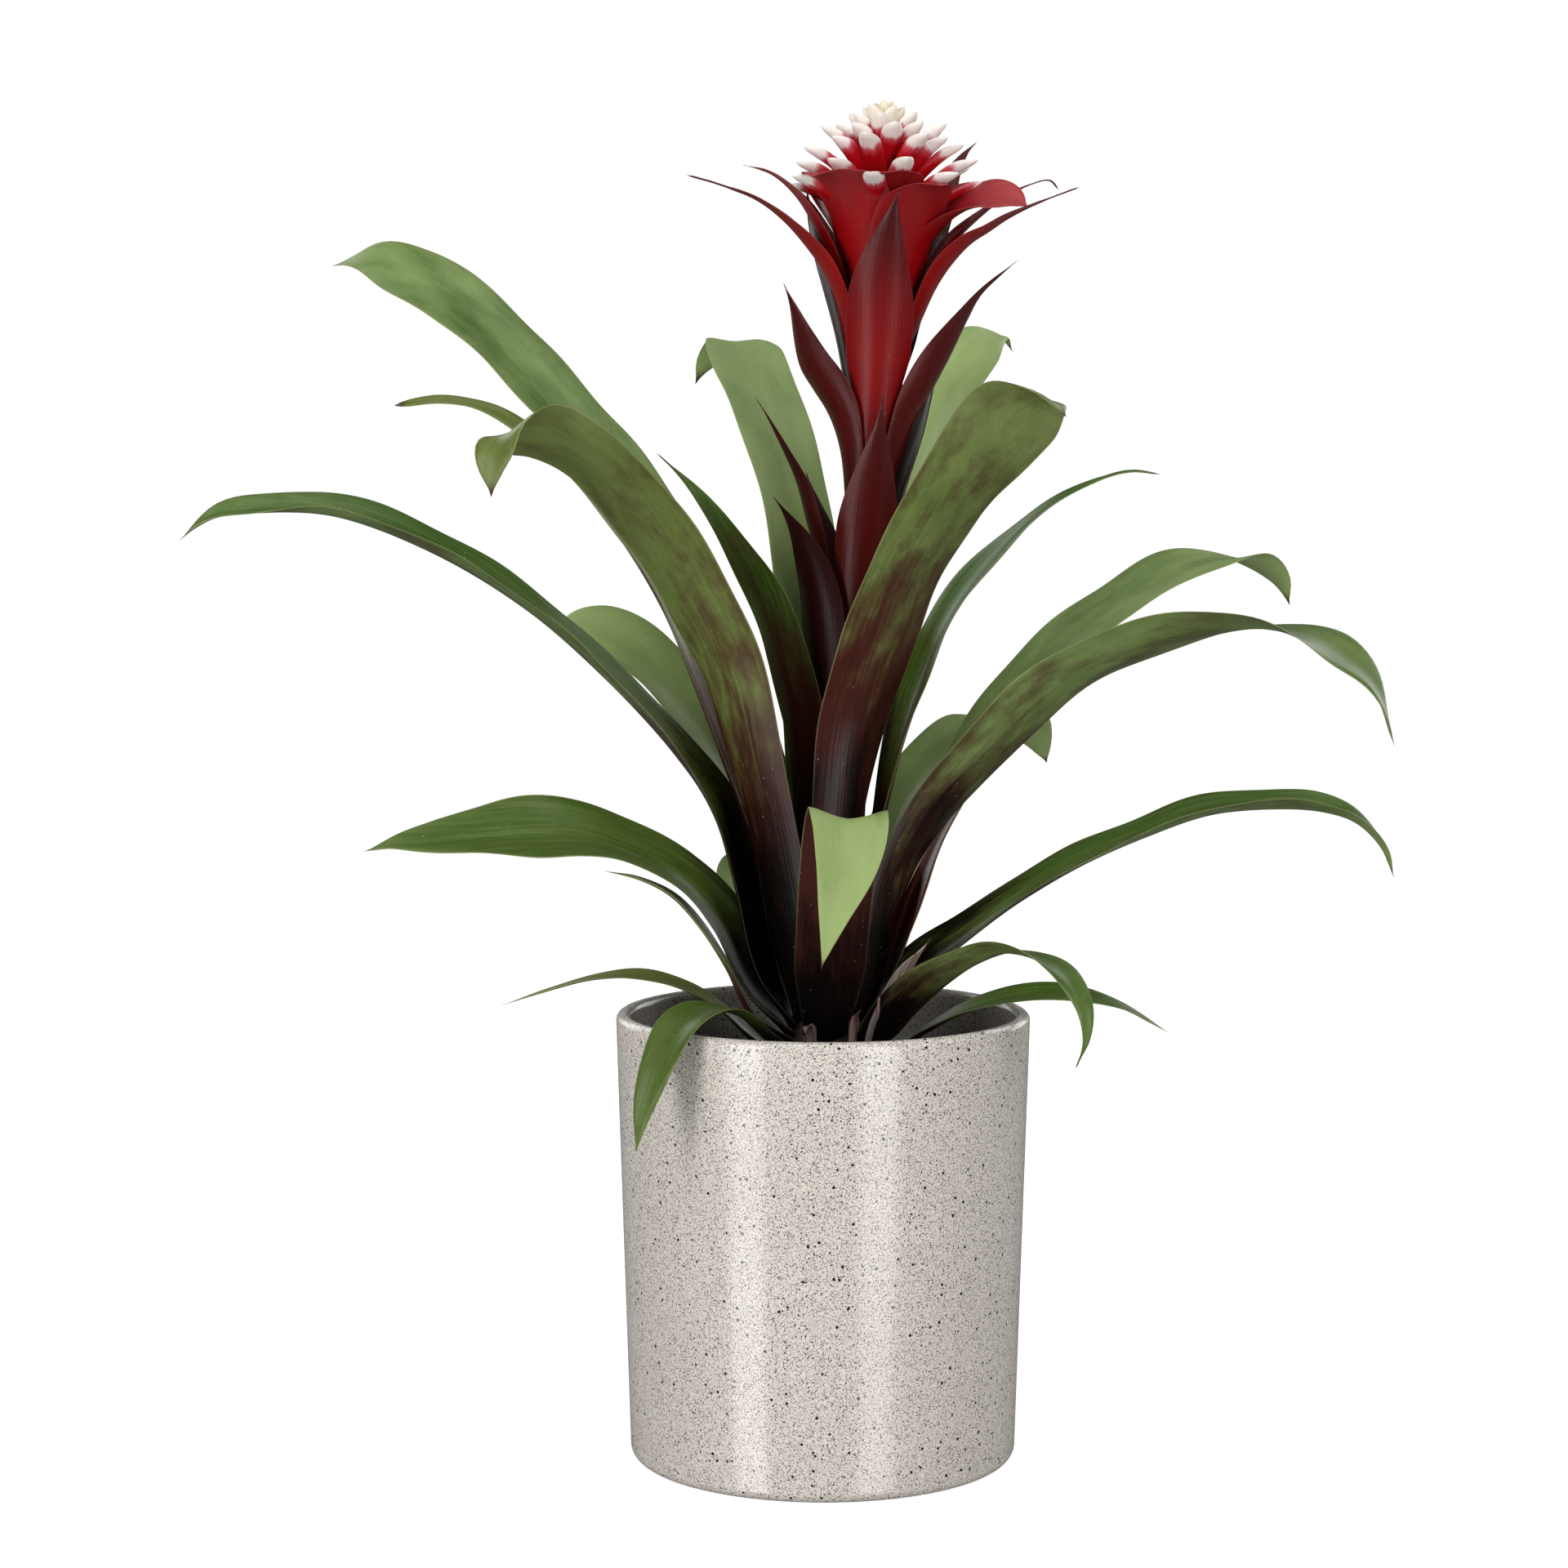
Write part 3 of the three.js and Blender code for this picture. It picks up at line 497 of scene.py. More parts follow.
def grower_plastic():
    """Matt moulded plastic: a fine grain, and dusty patches where soil has dried on it."""
    material, tree, shader = new_material("grower_plastic")
    position = object_place(tree)
    dust = ramp(tree, noise(tree, position, 60.0, 4.0), 0.45, 0.75)
    colour = blend(tree, dust, picked(38, 31, 27), picked(74, 62, 52))
    roughness = ramp(tree, dust, 0.0, 1.0, 0.42, 0.8)
    feed(tree, shader, colour, roughness, noise(tree, position, 1600.0), 0.00005)
    return material


def make_grower_pot():
    """Closed profile: foot, outer wall, step under the rim, rim, inner wall and floor."""
    rim_low = GROWER_RIM_Z - GROWER_RIM_DEPTH
    lip = GROWER_RADIUS_TOP + GROWER_RIM_WIDTH
    wall = float(grower_radius(rim_low))
    floor_z = GROWER_FOOT_Z + GROWER_WALL
    inner_foot = GROWER_RADIUS_FOOT - GROWER_WALL
    inner_top = GROWER_RADIUS_TOP - GROWER_WALL
    outer_foot = (GROWER_RADIUS_FOOT, GROWER_FOOT_Z + 1)
    inner_lip = (inner_top, GROWER_RIM_Z - 0.5)
    profile = (
        [(NEAR_AXIS, GROWER_FOOT_Z), (GROWER_RADIUS_FOOT - 1, GROWER_FOOT_Z), outer_foot]
        + line(outer_foot, (wall, rim_low), 6)
        + [(wall, rim_low - 0.3), (wall + 0.3, rim_low), (lip - 0.4, rim_low), (lip, rim_low + 0.4)]
        + [(lip, GROWER_RIM_Z - 1)] + arc((lip - 1, GROWER_RIM_Z - 1), 1.0, 10, 90, 5)
        + [(inner_top + 0.4, GROWER_RIM_Z), inner_lip]
        + line(inner_lip, (inner_foot, floor_z), 6)
        + [(inner_foot, floor_z), (NEAR_AXIS, floor_z)]
    )
    return turned("grower_pot_shell", profile, GROWER_SIDES, grower_plastic())


place(make_grower_pot(), "grower_pot", "grower_plastic")

# %% [markdown]
# ## Soil
# The soil is a plug of damp peat with loose crumbs and chips of bark on it. Its top is a turned profile
# too. A displacement modifier could make it uneven, but a sum of a few waves in the heights does so with
# plain numbers, and the crumbs can ask the same formula how high they lie.

# %% Soil
SOIL_TOP_OUT = 115.0
SOIL_TOP_IN = 117.0
STUMP_RADIUS = 22.0
STUMP_FOOT_Z = 88.0
SOIL_SIDES = 160
# Each wave of the soil's top: its radians in a millimetre along X and along Y, and its height.
SOIL_WAVES = (
    (0.21, 0.17, 0.9),
    (-0.33, 0.41, 0.6),
    (0.71, -0.52, 0.4),
    (1.3, 0.9, 0.28),
    (-1.1, 1.7, 0.22),
)


def soil_height(x, y):
    """Bumps of the soil's top in mm: a sum of crossed sine waves of shrinking length and height."""
    return sum(h * np.sin(a * x + b * y + 7 * h) * np.cos(b * x - a * y + 3 * h) for a, b, h in SOIL_WAVES)


def peat():
    """Damp peat: dark brown crumbs with lighter fibres, and a strong fine bump."""
    material, tree, shader = new_material("peat", Roughness=0.95)
    position = object_place(tree)
    crumbs = noise(tree, position, 420.0, 6.0, 0.7)
    fibres = ramp(tree, noise(tree, position, 1500.0, 2.0), 0.60, 0.72)
    colour = blend(tree, ramp(tree, crumbs, 0.35, 0.7), picked(28, 19, 13), picked(72, 51, 36))
    colour = blend(tree, fibres, colour, picked(120, 92, 66))
    feed(tree, shader, colour, None, crumbs, 0.0012)
    return material


def make_soil():
    """Foot disc, sloping side, wavy crowned top and the plain hole that the stump stands in."""
    foot = GROWER_FOOT_Z + GROWER_WALL + FIT
    foot_radius = float(grower_radius(foot)) - GROWER_WALL - 0.4
    edge = float(grower_radius(SOIL_TOP_OUT)) - GROWER_WALL - FIT
    hole = STUMP_RADIUS + FIT
    rings = [(NEAR_AXIS, foot), (foot_radius, foot), (edge - 0.2, SOIL_TOP_OUT - 3)]
    rings += line((edge, SOIL_TOP_OUT), (hole + 1, SOIL_TOP_IN), 30)
    rings += [(hole, SOIL_TOP_IN - 1), (hole, STUMP_FOOT_Z - FIT), (NEAR_AXIS, STUMP_FOOT_Z - FIT)]
    points = circles(*np.array(rings).T, SOIL_SIDES)
    x, y, z = np.moveaxis(points, -1, 0)
    points[..., 2] = np.where(z > SOIL_TOP_OUT - 0.5, z + soil_height(x, y), z)
    return new_piece("soil_surface", points, closed_tube(len(rings), SOIL_SIDES), peat())


place(make_soil(), "soil", "peat")

# %% [markdown]
# Crumbs and chips could be scattered by a particle system. A seeded random generator is plainer and gives
# the same crumbs each time. There are hundreds, so each has eight points only.

# %% Crumbs and bark
CRUMB_COUNT = 260
CRUMB_NEAR = 28.0
CRUMB_FAR = 51.0
CRUMB_SIZES = (0.5, 1.6)
SOIL_EDGE = 54.0
# How long, wide and thick a chip is, each as a range of its size.
CRUMB_SHAPE = ((0.8, 2.2), (0.6, 1.2), (0.3, 0.6))


def bark():
    """Chips of composted bark, each chip its own brown."""
    material, tree, shader = new_material("bark_chips", Roughness=0.9)
    position = object_place(tree)
    chip = node(tree, "ShaderNodeTexVoronoi", {"Vector": position, "Scale": 240.0})
    shade = node(tree, "ShaderNodeSeparateColor", {0: chip.outputs["Color"]}).outputs[0]
    colour = blend(tree, shade, picked(34, 22, 14), picked(112, 80, 54))
    feed(tree, shader, colour, None, noise(tree, position, 900.0, 4.0), 0.0004)
    return material


def make_crumbs():
    """Bark chips and crumbs: one rough eight-point lump, copied with random size, turn and place. A place's
    reach is the root of an even draw of its square, which spreads them evenly over the soil."""
    rng = np.random.default_rng(7)
    each = (CRUMB_COUNT, 1)
    corner = np.array([(x, y, z) for x in (-1, 1) for y in (-1, 1) for z in (-1, 1)], dtype=float)
    quads = np.array([(0, 1, 3, 2), (4, 6, 7, 5), (0, 4, 5, 1), (2, 3, 7, 6), (0, 2, 6, 4), (1, 5, 7, 3)])
    lumps = corner * (1 + 0.35 * rng.standard_normal((CRUMB_COUNT, 8, 3)).clip(-1.5, 1.5))
    size = rng.uniform(*CRUMB_SIZES, (CRUMB_COUNT, 1, 1))
    lumps = lumps * (size * np.stack([rng.uniform(*span, each) for span in CRUMB_SHAPE], -1))
    turn = rng.uniform(0, 2 * np.pi, each)
    x = lumps[..., 0] * np.cos(turn) - lumps[..., 1] * np.sin(turn)
    y = lumps[..., 0] * np.sin(turn) + lumps[..., 1] * np.cos(turn)
    reach = np.sqrt(rng.uniform(CRUMB_NEAR ** 2, CRUMB_FAR ** 2, each))
    around = rng.uniform(0, 2 * np.pi, each)
    spot_x, spot_y = reach * np.cos(around), reach * np.sin(around)
    ground = np.interp(reach, [STUMP_RADIUS, SOIL_EDGE], [SOIL_TOP_IN, SOIL_TOP_OUT])
    ground = ground + soil_height(spot_x, spot_y)
    points = np.stack([x + spot_x, y + spot_y, lumps[..., 2] + ground + 0.3], -1)
    faces = (quads[None] + 8 * np.arange(CRUMB_COUNT)[:, None, None]).reshape(-1, 4)
    return new_piece("soil_crumbs", points, faces, bark())


place(make_crumbs(), None, "peat")

# %% [markdown]
# ## Blades
# Leaves, stem bracts and floral bracts are all blades: a spine with a width, a gutter and a thin lens of
# thickness. A flat strip bent by a curve modifier would keep one section from end to end, while a real
# leaf clasps like a sheath at its foot and opens out above. So the spine is a smooth curve through
# given points in an upright plane through the stem, each point can roll the blade about it, and the
# section is a circle arc whose half-angle changes along the leaf.

# %% Spine
def even_curve(knots, count):
    """A centripetal Catmull-Rom curve through the knots, read at evenly spaced places. The spacing uses
    the first three columns; the other columns are carried along. Returns (rows, length)."""
    knots = np.asarray(knots, dtype=float)
    ends = np.vstack([2 * knots[0] - knots[1], knots, 2 * knots[-1] - knots[-2]])
    step = np.maximum(np.sqrt(np.linalg.norm(np.diff(ends[:, :3], axis=0), axis=1)), 1e-4)
    t = np.linspace(0, 1, 60)[:, None]
    stretches = []
    for i in range(len(knots) - 1):
        p0, p1, p2, p3 = ends[i:i + 4]
        d0, d1, d2 = step[i:i + 3]
        slope1 = ((p1 - p0) / d0 - (p2 - p0) / (d0 + d1) + (p2 - p1) / d1) * d1
        slope2 = ((p2 - p1) / d1 - (p3 - p1) / (d1 + d2) + (p3 - p2) / d2) * d1
        stretches.append(p1 + slope1 * t + (3 * (p2 - p1) - 2 * slope1 - slope2) * t ** 2
                         + (2 * (p1 - p2) + slope1 + slope2) * t ** 3)
    fine = np.vstack(stretches)
    run = np.concatenate([[0], np.cumsum(np.linalg.norm(np.diff(fine[:, :3], axis=0), axis=1))])
    places = np.linspace(0, run[-1], count)
    return np.stack([np.interp(places, run, column) for column in fine.T], -1), run[-1]


STEM_LEAN = 20.0
LEAN_FROM_Z = 150.0
LEAN_TO_Z = 420.0


def stem_x(z):
    """How far the stem's axis has leaned to the right at a height."""
    return STEM_LEAN * ease((z - LEAN_FROM_Z) / (LEAN_TO_Z - LEAN_FROM_Z))


print("half way up its lean the stem stands at x =", stem_x((LEAN_FROM_Z + LEAN_TO_Z) / 2), "mm")


# %% [markdown]
# The width and the gutter are each a curve over the length of the blade. They could be lists of numbers
# for every leaf, but a few named values say the same: how wide the foot, neck and blade are, where each
# begins, and how blunt the tip is. STRAP holds those of a leaf and BRACT those of a bract.

# %% Blade width and gutter
STRAP = dict(neck=22, blade=29, neck_at=0.22, blade_at=0.5, taper_at=0.72, tip_power=0.5, tail=0.8,
             gutter_neck=32, gutter_tip=18, keel=0.55, thick=0.9, ripple=0.5, curl=0.6, rows=110,
             cells=18, hugs=True)
BRACT = dict(neck=17, blade=21, neck_at=0.25, blade_at=0.45, taper_at=0.45, tip_power=0.65, tail=0.8,
             gutter_neck=45, gutter_tip=20, keel=0.3, thick=0.8, ripple=0.3, curl=0.4, rows=64,
             cells=16, hugs=True)
TAIL_END = 0.03
TAIL_LEAST = 0.12
GUTTER_OPENS = 0.45
GUTTER_SPAN = 0.5


def blade_width(form, along):
    """Foot width eased to the neck, neck eased to the blade, then a cosine taper raised to a power. The
    taper stops at the tail's width, and the tail closes like half an ellipse. along is 0 at the foot and
    1 at the tip."""
    width = form["foot_width"] + (form["neck"] - form["foot_width"]) * ease(along / form["neck_at"])
    opened = ease((along - form["neck_at"]) / (form["blade_at"] - form["neck_at"]))
    width = width + (form["blade"] - form["neck"]) * opened
    past = np.clip((along - form["taper_at"]) / (1 - form["taper_at"]), 0, 1)
    width = width * (0.5 + 0.5 * np.cos(np.pi * past)) ** form["tip_power"]
    closing = np.sqrt(1 - np.clip(1 - (1 - along) / TAIL_END, 0, 1) ** 2)
    return np.maximum(width, form["tail"]) * np.maximum(closing, TAIL_LEAST)


def gutter_angle(form, along):
    """Half-angle of the section's arc: the foot's wrap eased to the neck's, then opened towards the tip."""
    angle = form["foot_wrap"] + (form["gutter_neck"] - form["foot_wrap"]) * ease(along / form["neck_at"])
    opened = ease((along - GUTTER_OPENS) / GUTTER_SPAN)
    return np.radians(angle + (form["gutter_tip"] - form["gutter_neck"]) * opened)


print("a strap leaf is", STRAP["blade"], "mm wide, a bract", BRACT["blade"], "mm")


# %% Blade directions
def knot_rows(knots):
    """Spine points as rows of (out, up, roll, side), with 0 for what a point leaves out."""
    return np.array([(*knot, *(0,) * (4 - len(knot))) for knot in knots], dtype=float)


def blade_frame(form, origin):
    """A knot is origin + out times the heading + up times Z + side times the sideways direction. Along the
    curve through the knots, across is the sideways direction made square to the tangent, inner is tangent
    x across, and the roll turns both about the tangent. Returns (spine, across, inner, length)."""
    heading = np.radians(form["heading"])
    out = np.array([np.cos(heading), np.sin(heading), 0.0])
    side = np.array([-np.sin(heading), np.cos(heading), 0.0])
    rows = knot_rows(form["spine"])
    knots = np.hstack([np.asarray(origin) + rows[:, :1] * out + rows[:, 3:] * side, rows[:, 2:3]])
    knots[:, 2] += rows[:, 1]
    curve, length = even_curve(knots, form["rows"] + 1)
    spine, roll = curve[:, :3], np.radians(curve[:, 3:4])
    tangent = np.gradient(spine, axis=0)
    tangent /= np.linalg.norm(tangent, axis=1, keepdims=True)
    across = side - (tangent @ side)[:, None] * tangent
    across /= np.linalg.norm(across, axis=1, keepdims=True)
    inner = np.cross(tangent, across)
    rolled = across * np.cos(roll) + inner * np.sin(roll)
    return spine, rolled, inner * np.cos(roll) - across * np.sin(roll), length


# %% [markdown]
# The surface is the section laid across the spine at every row. Two flat faces sewn together would meet in
# a sharp seam. Here the upper face, the rounded edges and the lower face are one closed ring of points.
# No leaf is quite even, so its edges ripple and curl a little where it is free of the crown.

# %% Blade surface
STEM_HUG = np.radians(55)
FREE_FROM = 0.25
FREE_OVER = 0.3
FREE_WIDTH = 14
RIPPLE_LENGTH = 46.0
RIPPLE_SHIFT = 2.1
CURL_FROM = 0.7
CURL_GAIN = 8
KEEL_FROM = 0.12
KEEL_OVER = 0.2
KEEL_ROUND = 0.02
KEEL_SPAN = 0.87
EDGE_THIN = 0.22
FULL_THICK_WIDTH = 4


def edge_lift(form, along, share, length, room, chance):
    """How far the edges lift: a sine wave along the leaf that grows with the cube of the share across, out
    of step on the two sides, less the square of how far the share is past CURL_FROM. room fades both in."""
    wave = (2 * np.pi * along[:, None] * length / RIPPLE_LENGTH + 11 * chance
            + np.where(share < 0, RIPPLE_SHIFT, 0.0))
    outer = np.clip(np.abs(share) - CURL_FROM, 0, 1)
    curl = form["curl"] * outer ** 2 * CURL_GAIN
    return room * (form["ripple"] * np.abs(share) ** 3 * np.sin(wave) - curl)


def blade_surface(form, origin, chance):
    """Points of a blade's closed ring grid, and its attributes. With the spine P, across B and inner N, a
    point of the section is P + B R sin(a) + N R (1 - cos(a)), with R the arc's radius, mixed with a soft V
    of the same depth for the keel. Half the thickness is added along the arc's own normal. share is -1 at
    one edge and 1 at the other. Near the stem the arc is at least as deep as the stem needs.
    """
    spine, across, inner, length = blade_frame(form, origin)
    along = np.linspace(0, 1, form["rows"] + 1)
    share = np.sin(np.linspace(-np.pi / 2, np.pi / 2, form["cells"] + 1))
    width = blade_width(form, along)
    angle = gutter_angle(form, along)
    if form["hugs"]:
        reach = np.hypot(spine[:, 0] - stem_x(spine[:, 2]), spine[:, 1])
        angle = np.maximum(angle, np.minimum(STEM_HUG, width / 2 / np.maximum(reach, 1)))
    bend = (width / 2 / angle)[:, None]
    turn = angle[:, None] * share
    room = (ease((along - FREE_FROM) / FREE_OVER) * np.minimum(width / FREE_WIDTH, 1))[:, None]
    keel = form["keel"] * ease((along - KEEL_FROM) / KEEL_OVER)[:, None]
    soft_v = np.sqrt(share ** 2 + KEEL_ROUND) - np.sqrt(KEEL_ROUND)
    vee = bend * (1 - np.cos(angle))[:, None] * soft_v / KEEL_SPAN
    sideways = bend * np.sin(turn)
    inwards = (1 - keel) * bend * (1 - np.cos(turn)) + keel * vee
    inwards = inwards + edge_lift(form, along, share, length, room, chance)
    lens = EDGE_THIN + (1 - EDGE_THIN) * (1 - share ** 4)
    half = form["thick"] / 2 * lens * np.minimum(width / FULL_THICK_WIDTH, 1)[:, None]
    faces = []
    for sign, order in ((1, slice(None)), (-1, slice(None, None, -1))):
        x = sideways - sign * half * np.sin(turn)
        y = inwards + sign * half * np.cos(turn)
        grid = spine[:, None] + across[:, None] * x[..., None] + inner[:, None] * y[..., None]
        faces.append(grid[:, order])
    points = np.concatenate(faces, axis=1)
    lateral = np.concatenate([sideways, sideways[:, ::-1]], axis=1) * MM
    upper = np.concatenate([np.ones_like(share), np.zeros_like(share)])
    share_ring = np.concatenate([share, share[::-1]])
    columns = (lateral, (along * length * MM)[:, None], upper, share_ring, along[:, None], np.array(chance))
    measured = np.stack([np.broadcast_to(column, points.shape[:2]) for column in columns], -1)
    return points, {"blade": measured[..., :3], "spot": measured[..., 3:]}


# %% A blade as a piece
def make_blade(form, node_name, material, slot, origin, chance):
    """One blade as a piece, with its tint (three numbers that the material reads) on every point."""
    points, attributes = blade_surface(form, origin, chance)
    attributes["tint"] = np.broadcast_to(np.asarray(form["tint"], dtype=float), points.shape)
    quads = closed_tube(form["rows"] + 1, 2 * (form["cells"] + 1))
    piece_name = form["name"].replace("leaf_", "blade_").replace("_bract_", "_blade_")
    place(new_piece(piece_name, points, quads, material, attributes), node_name, slot)


# %% [markdown]
# ## Skin of the blades
# Lengthwise veins, soft mottling and dust-like scales are on every leaf and bract, so they are one shader
# group that each material places with its own values. A leaf could have a flat unwrapped picture instead,
# but the group reads the blade's own coordinates, in metres across and along, so the pattern follows the
# leaf round every bend.

# %% Shared skin group
SKIN_OUTPUTS = ("Streak", "Mottle", "Blotch", "Vein", "Dust")


def skin_group():
    """A group that gives fine lengthwise streaks, broad patches, ragged blotches, veins and dust dots."""
    group = bpy.data.node_groups.new("blade_skin", "ShaderNodeTree")
    group.interface.new_socket("Blade", in_out="INPUT", socket_type="NodeSocketVector")
    group.interface.new_socket("Chance", in_out="INPUT", socket_type="NodeSocketFloat")
    for name in SKIN_OUTPUTS:
        group.interface.new_socket(name, in_out="OUTPUT", socket_type="NodeSocketFloat")
    start = group.nodes.new("NodeGroupInput")
    end = group.nodes.new("NodeGroupOutput")
    parts = axes(group, start.outputs["Blade"])
    apart = times(group, start.outputs["Chance"], 9.0)

    def stretched(along):
        """The blade's coordinates with the length scaled, so that noise on them is drawn out."""
        shorter = times(group, parts["Y"], along)
        return node(group, "ShaderNodeCombineXYZ", {0: parts["X"], 1: shorter, 2: apart}).outputs[0]

    streak = noise(group, stretched(0.035), 900.0, 3.0, 0.6)
    mottle = noise(group, stretched(0.30), 95.0, 4.0, 0.6)
    blotch = noise(group, stretched(0.40), 110.0, 6.0, 0.66)
    vein = noise(group, stretched(0.01), 1500.0, 1.0)
    flat = node(group, "ShaderNodeTexVoronoi", {"Vector": stretched(1.0), "Scale": 520.0})
    dot = ramp(group, flat.outputs["Distance"], 0.06, 0.14, 1.0, 0.0)
    pick = node(group, "ShaderNodeSeparateColor", {0: flat.outputs["Color"]}).outputs[0]
    dust = times(group, dot, ramp(group, pick, 0.86, 0.88))
    for name, value in zip(SKIN_OUTPUTS, (streak, mottle, blotch, vein, dust)):
        group.links.new(value, end.inputs[name])
    return group


SKIN = skin_group()


def around_middle(tree, value, swing):
    """A noise value as a shift about zero: (value - 0.5) times swing."""
    return times(tree, maths(tree, "SUBTRACT", value, 0.5), swing)


def blade_inputs(tree):
    """The attributes of a blade and the shared skin group, as a dictionary of outputs."""
    blade, spot, tint = (node(tree, "ShaderNodeAttribute", attribute_name=name).outputs["Vector"]
                         for name in ("blade", "spot", "tint"))
    spots, tints = axes(tree, spot), axes(tree, tint)
    skin = node(tree, "ShaderNodeGroup", {"Blade": blade, "Chance": spots["Z"]}, node_tree=SKIN)
    found = {name: skin.outputs[name] for name in SKIN_OUTPUTS}
    found.update(face=axes(tree, blade)["Z"], along=spots["Y"], edge=maths(tree, "ABSOLUTE", spots["X"]),
                 first=tints["X"], second=tints["Y"], third=tints["Z"])
    return found


print("skin group gives:", SKIN_OUTPUTS)

# %% [markdown]
# ## Foliage leaves
# The leaves are long straps that arch over. They could be copies of one leaf turned round the stem, but
# each real leaf has its own bend and twist, so a table holds one row for each, innermost first. The leaves
# nest: each clasping foot is an arc round the crown, one step outside every inner foot that it overlaps.
# A spine point is (out, up, roll, side): distance from the stem along the heading, height, roll in
# degrees, and a shift to the side. A tint is how far up the maroon reaches as a share of the length, how
# grey and pale the leaf is, and how yellow.

# %% Foliage table
CROWN_FOOT_Z = 119.0
CROWN_TOP_Z = 158.0
STEM_RADIUS_LOW = 5.5
STEM_RADIUS_HIGH = 4.6
STEM_TOP_Z = 404.0
SHEATH_HALF_WRAP = 38.0
SHEATH_STEP = 1.2
LEAF_THICK = 0.8

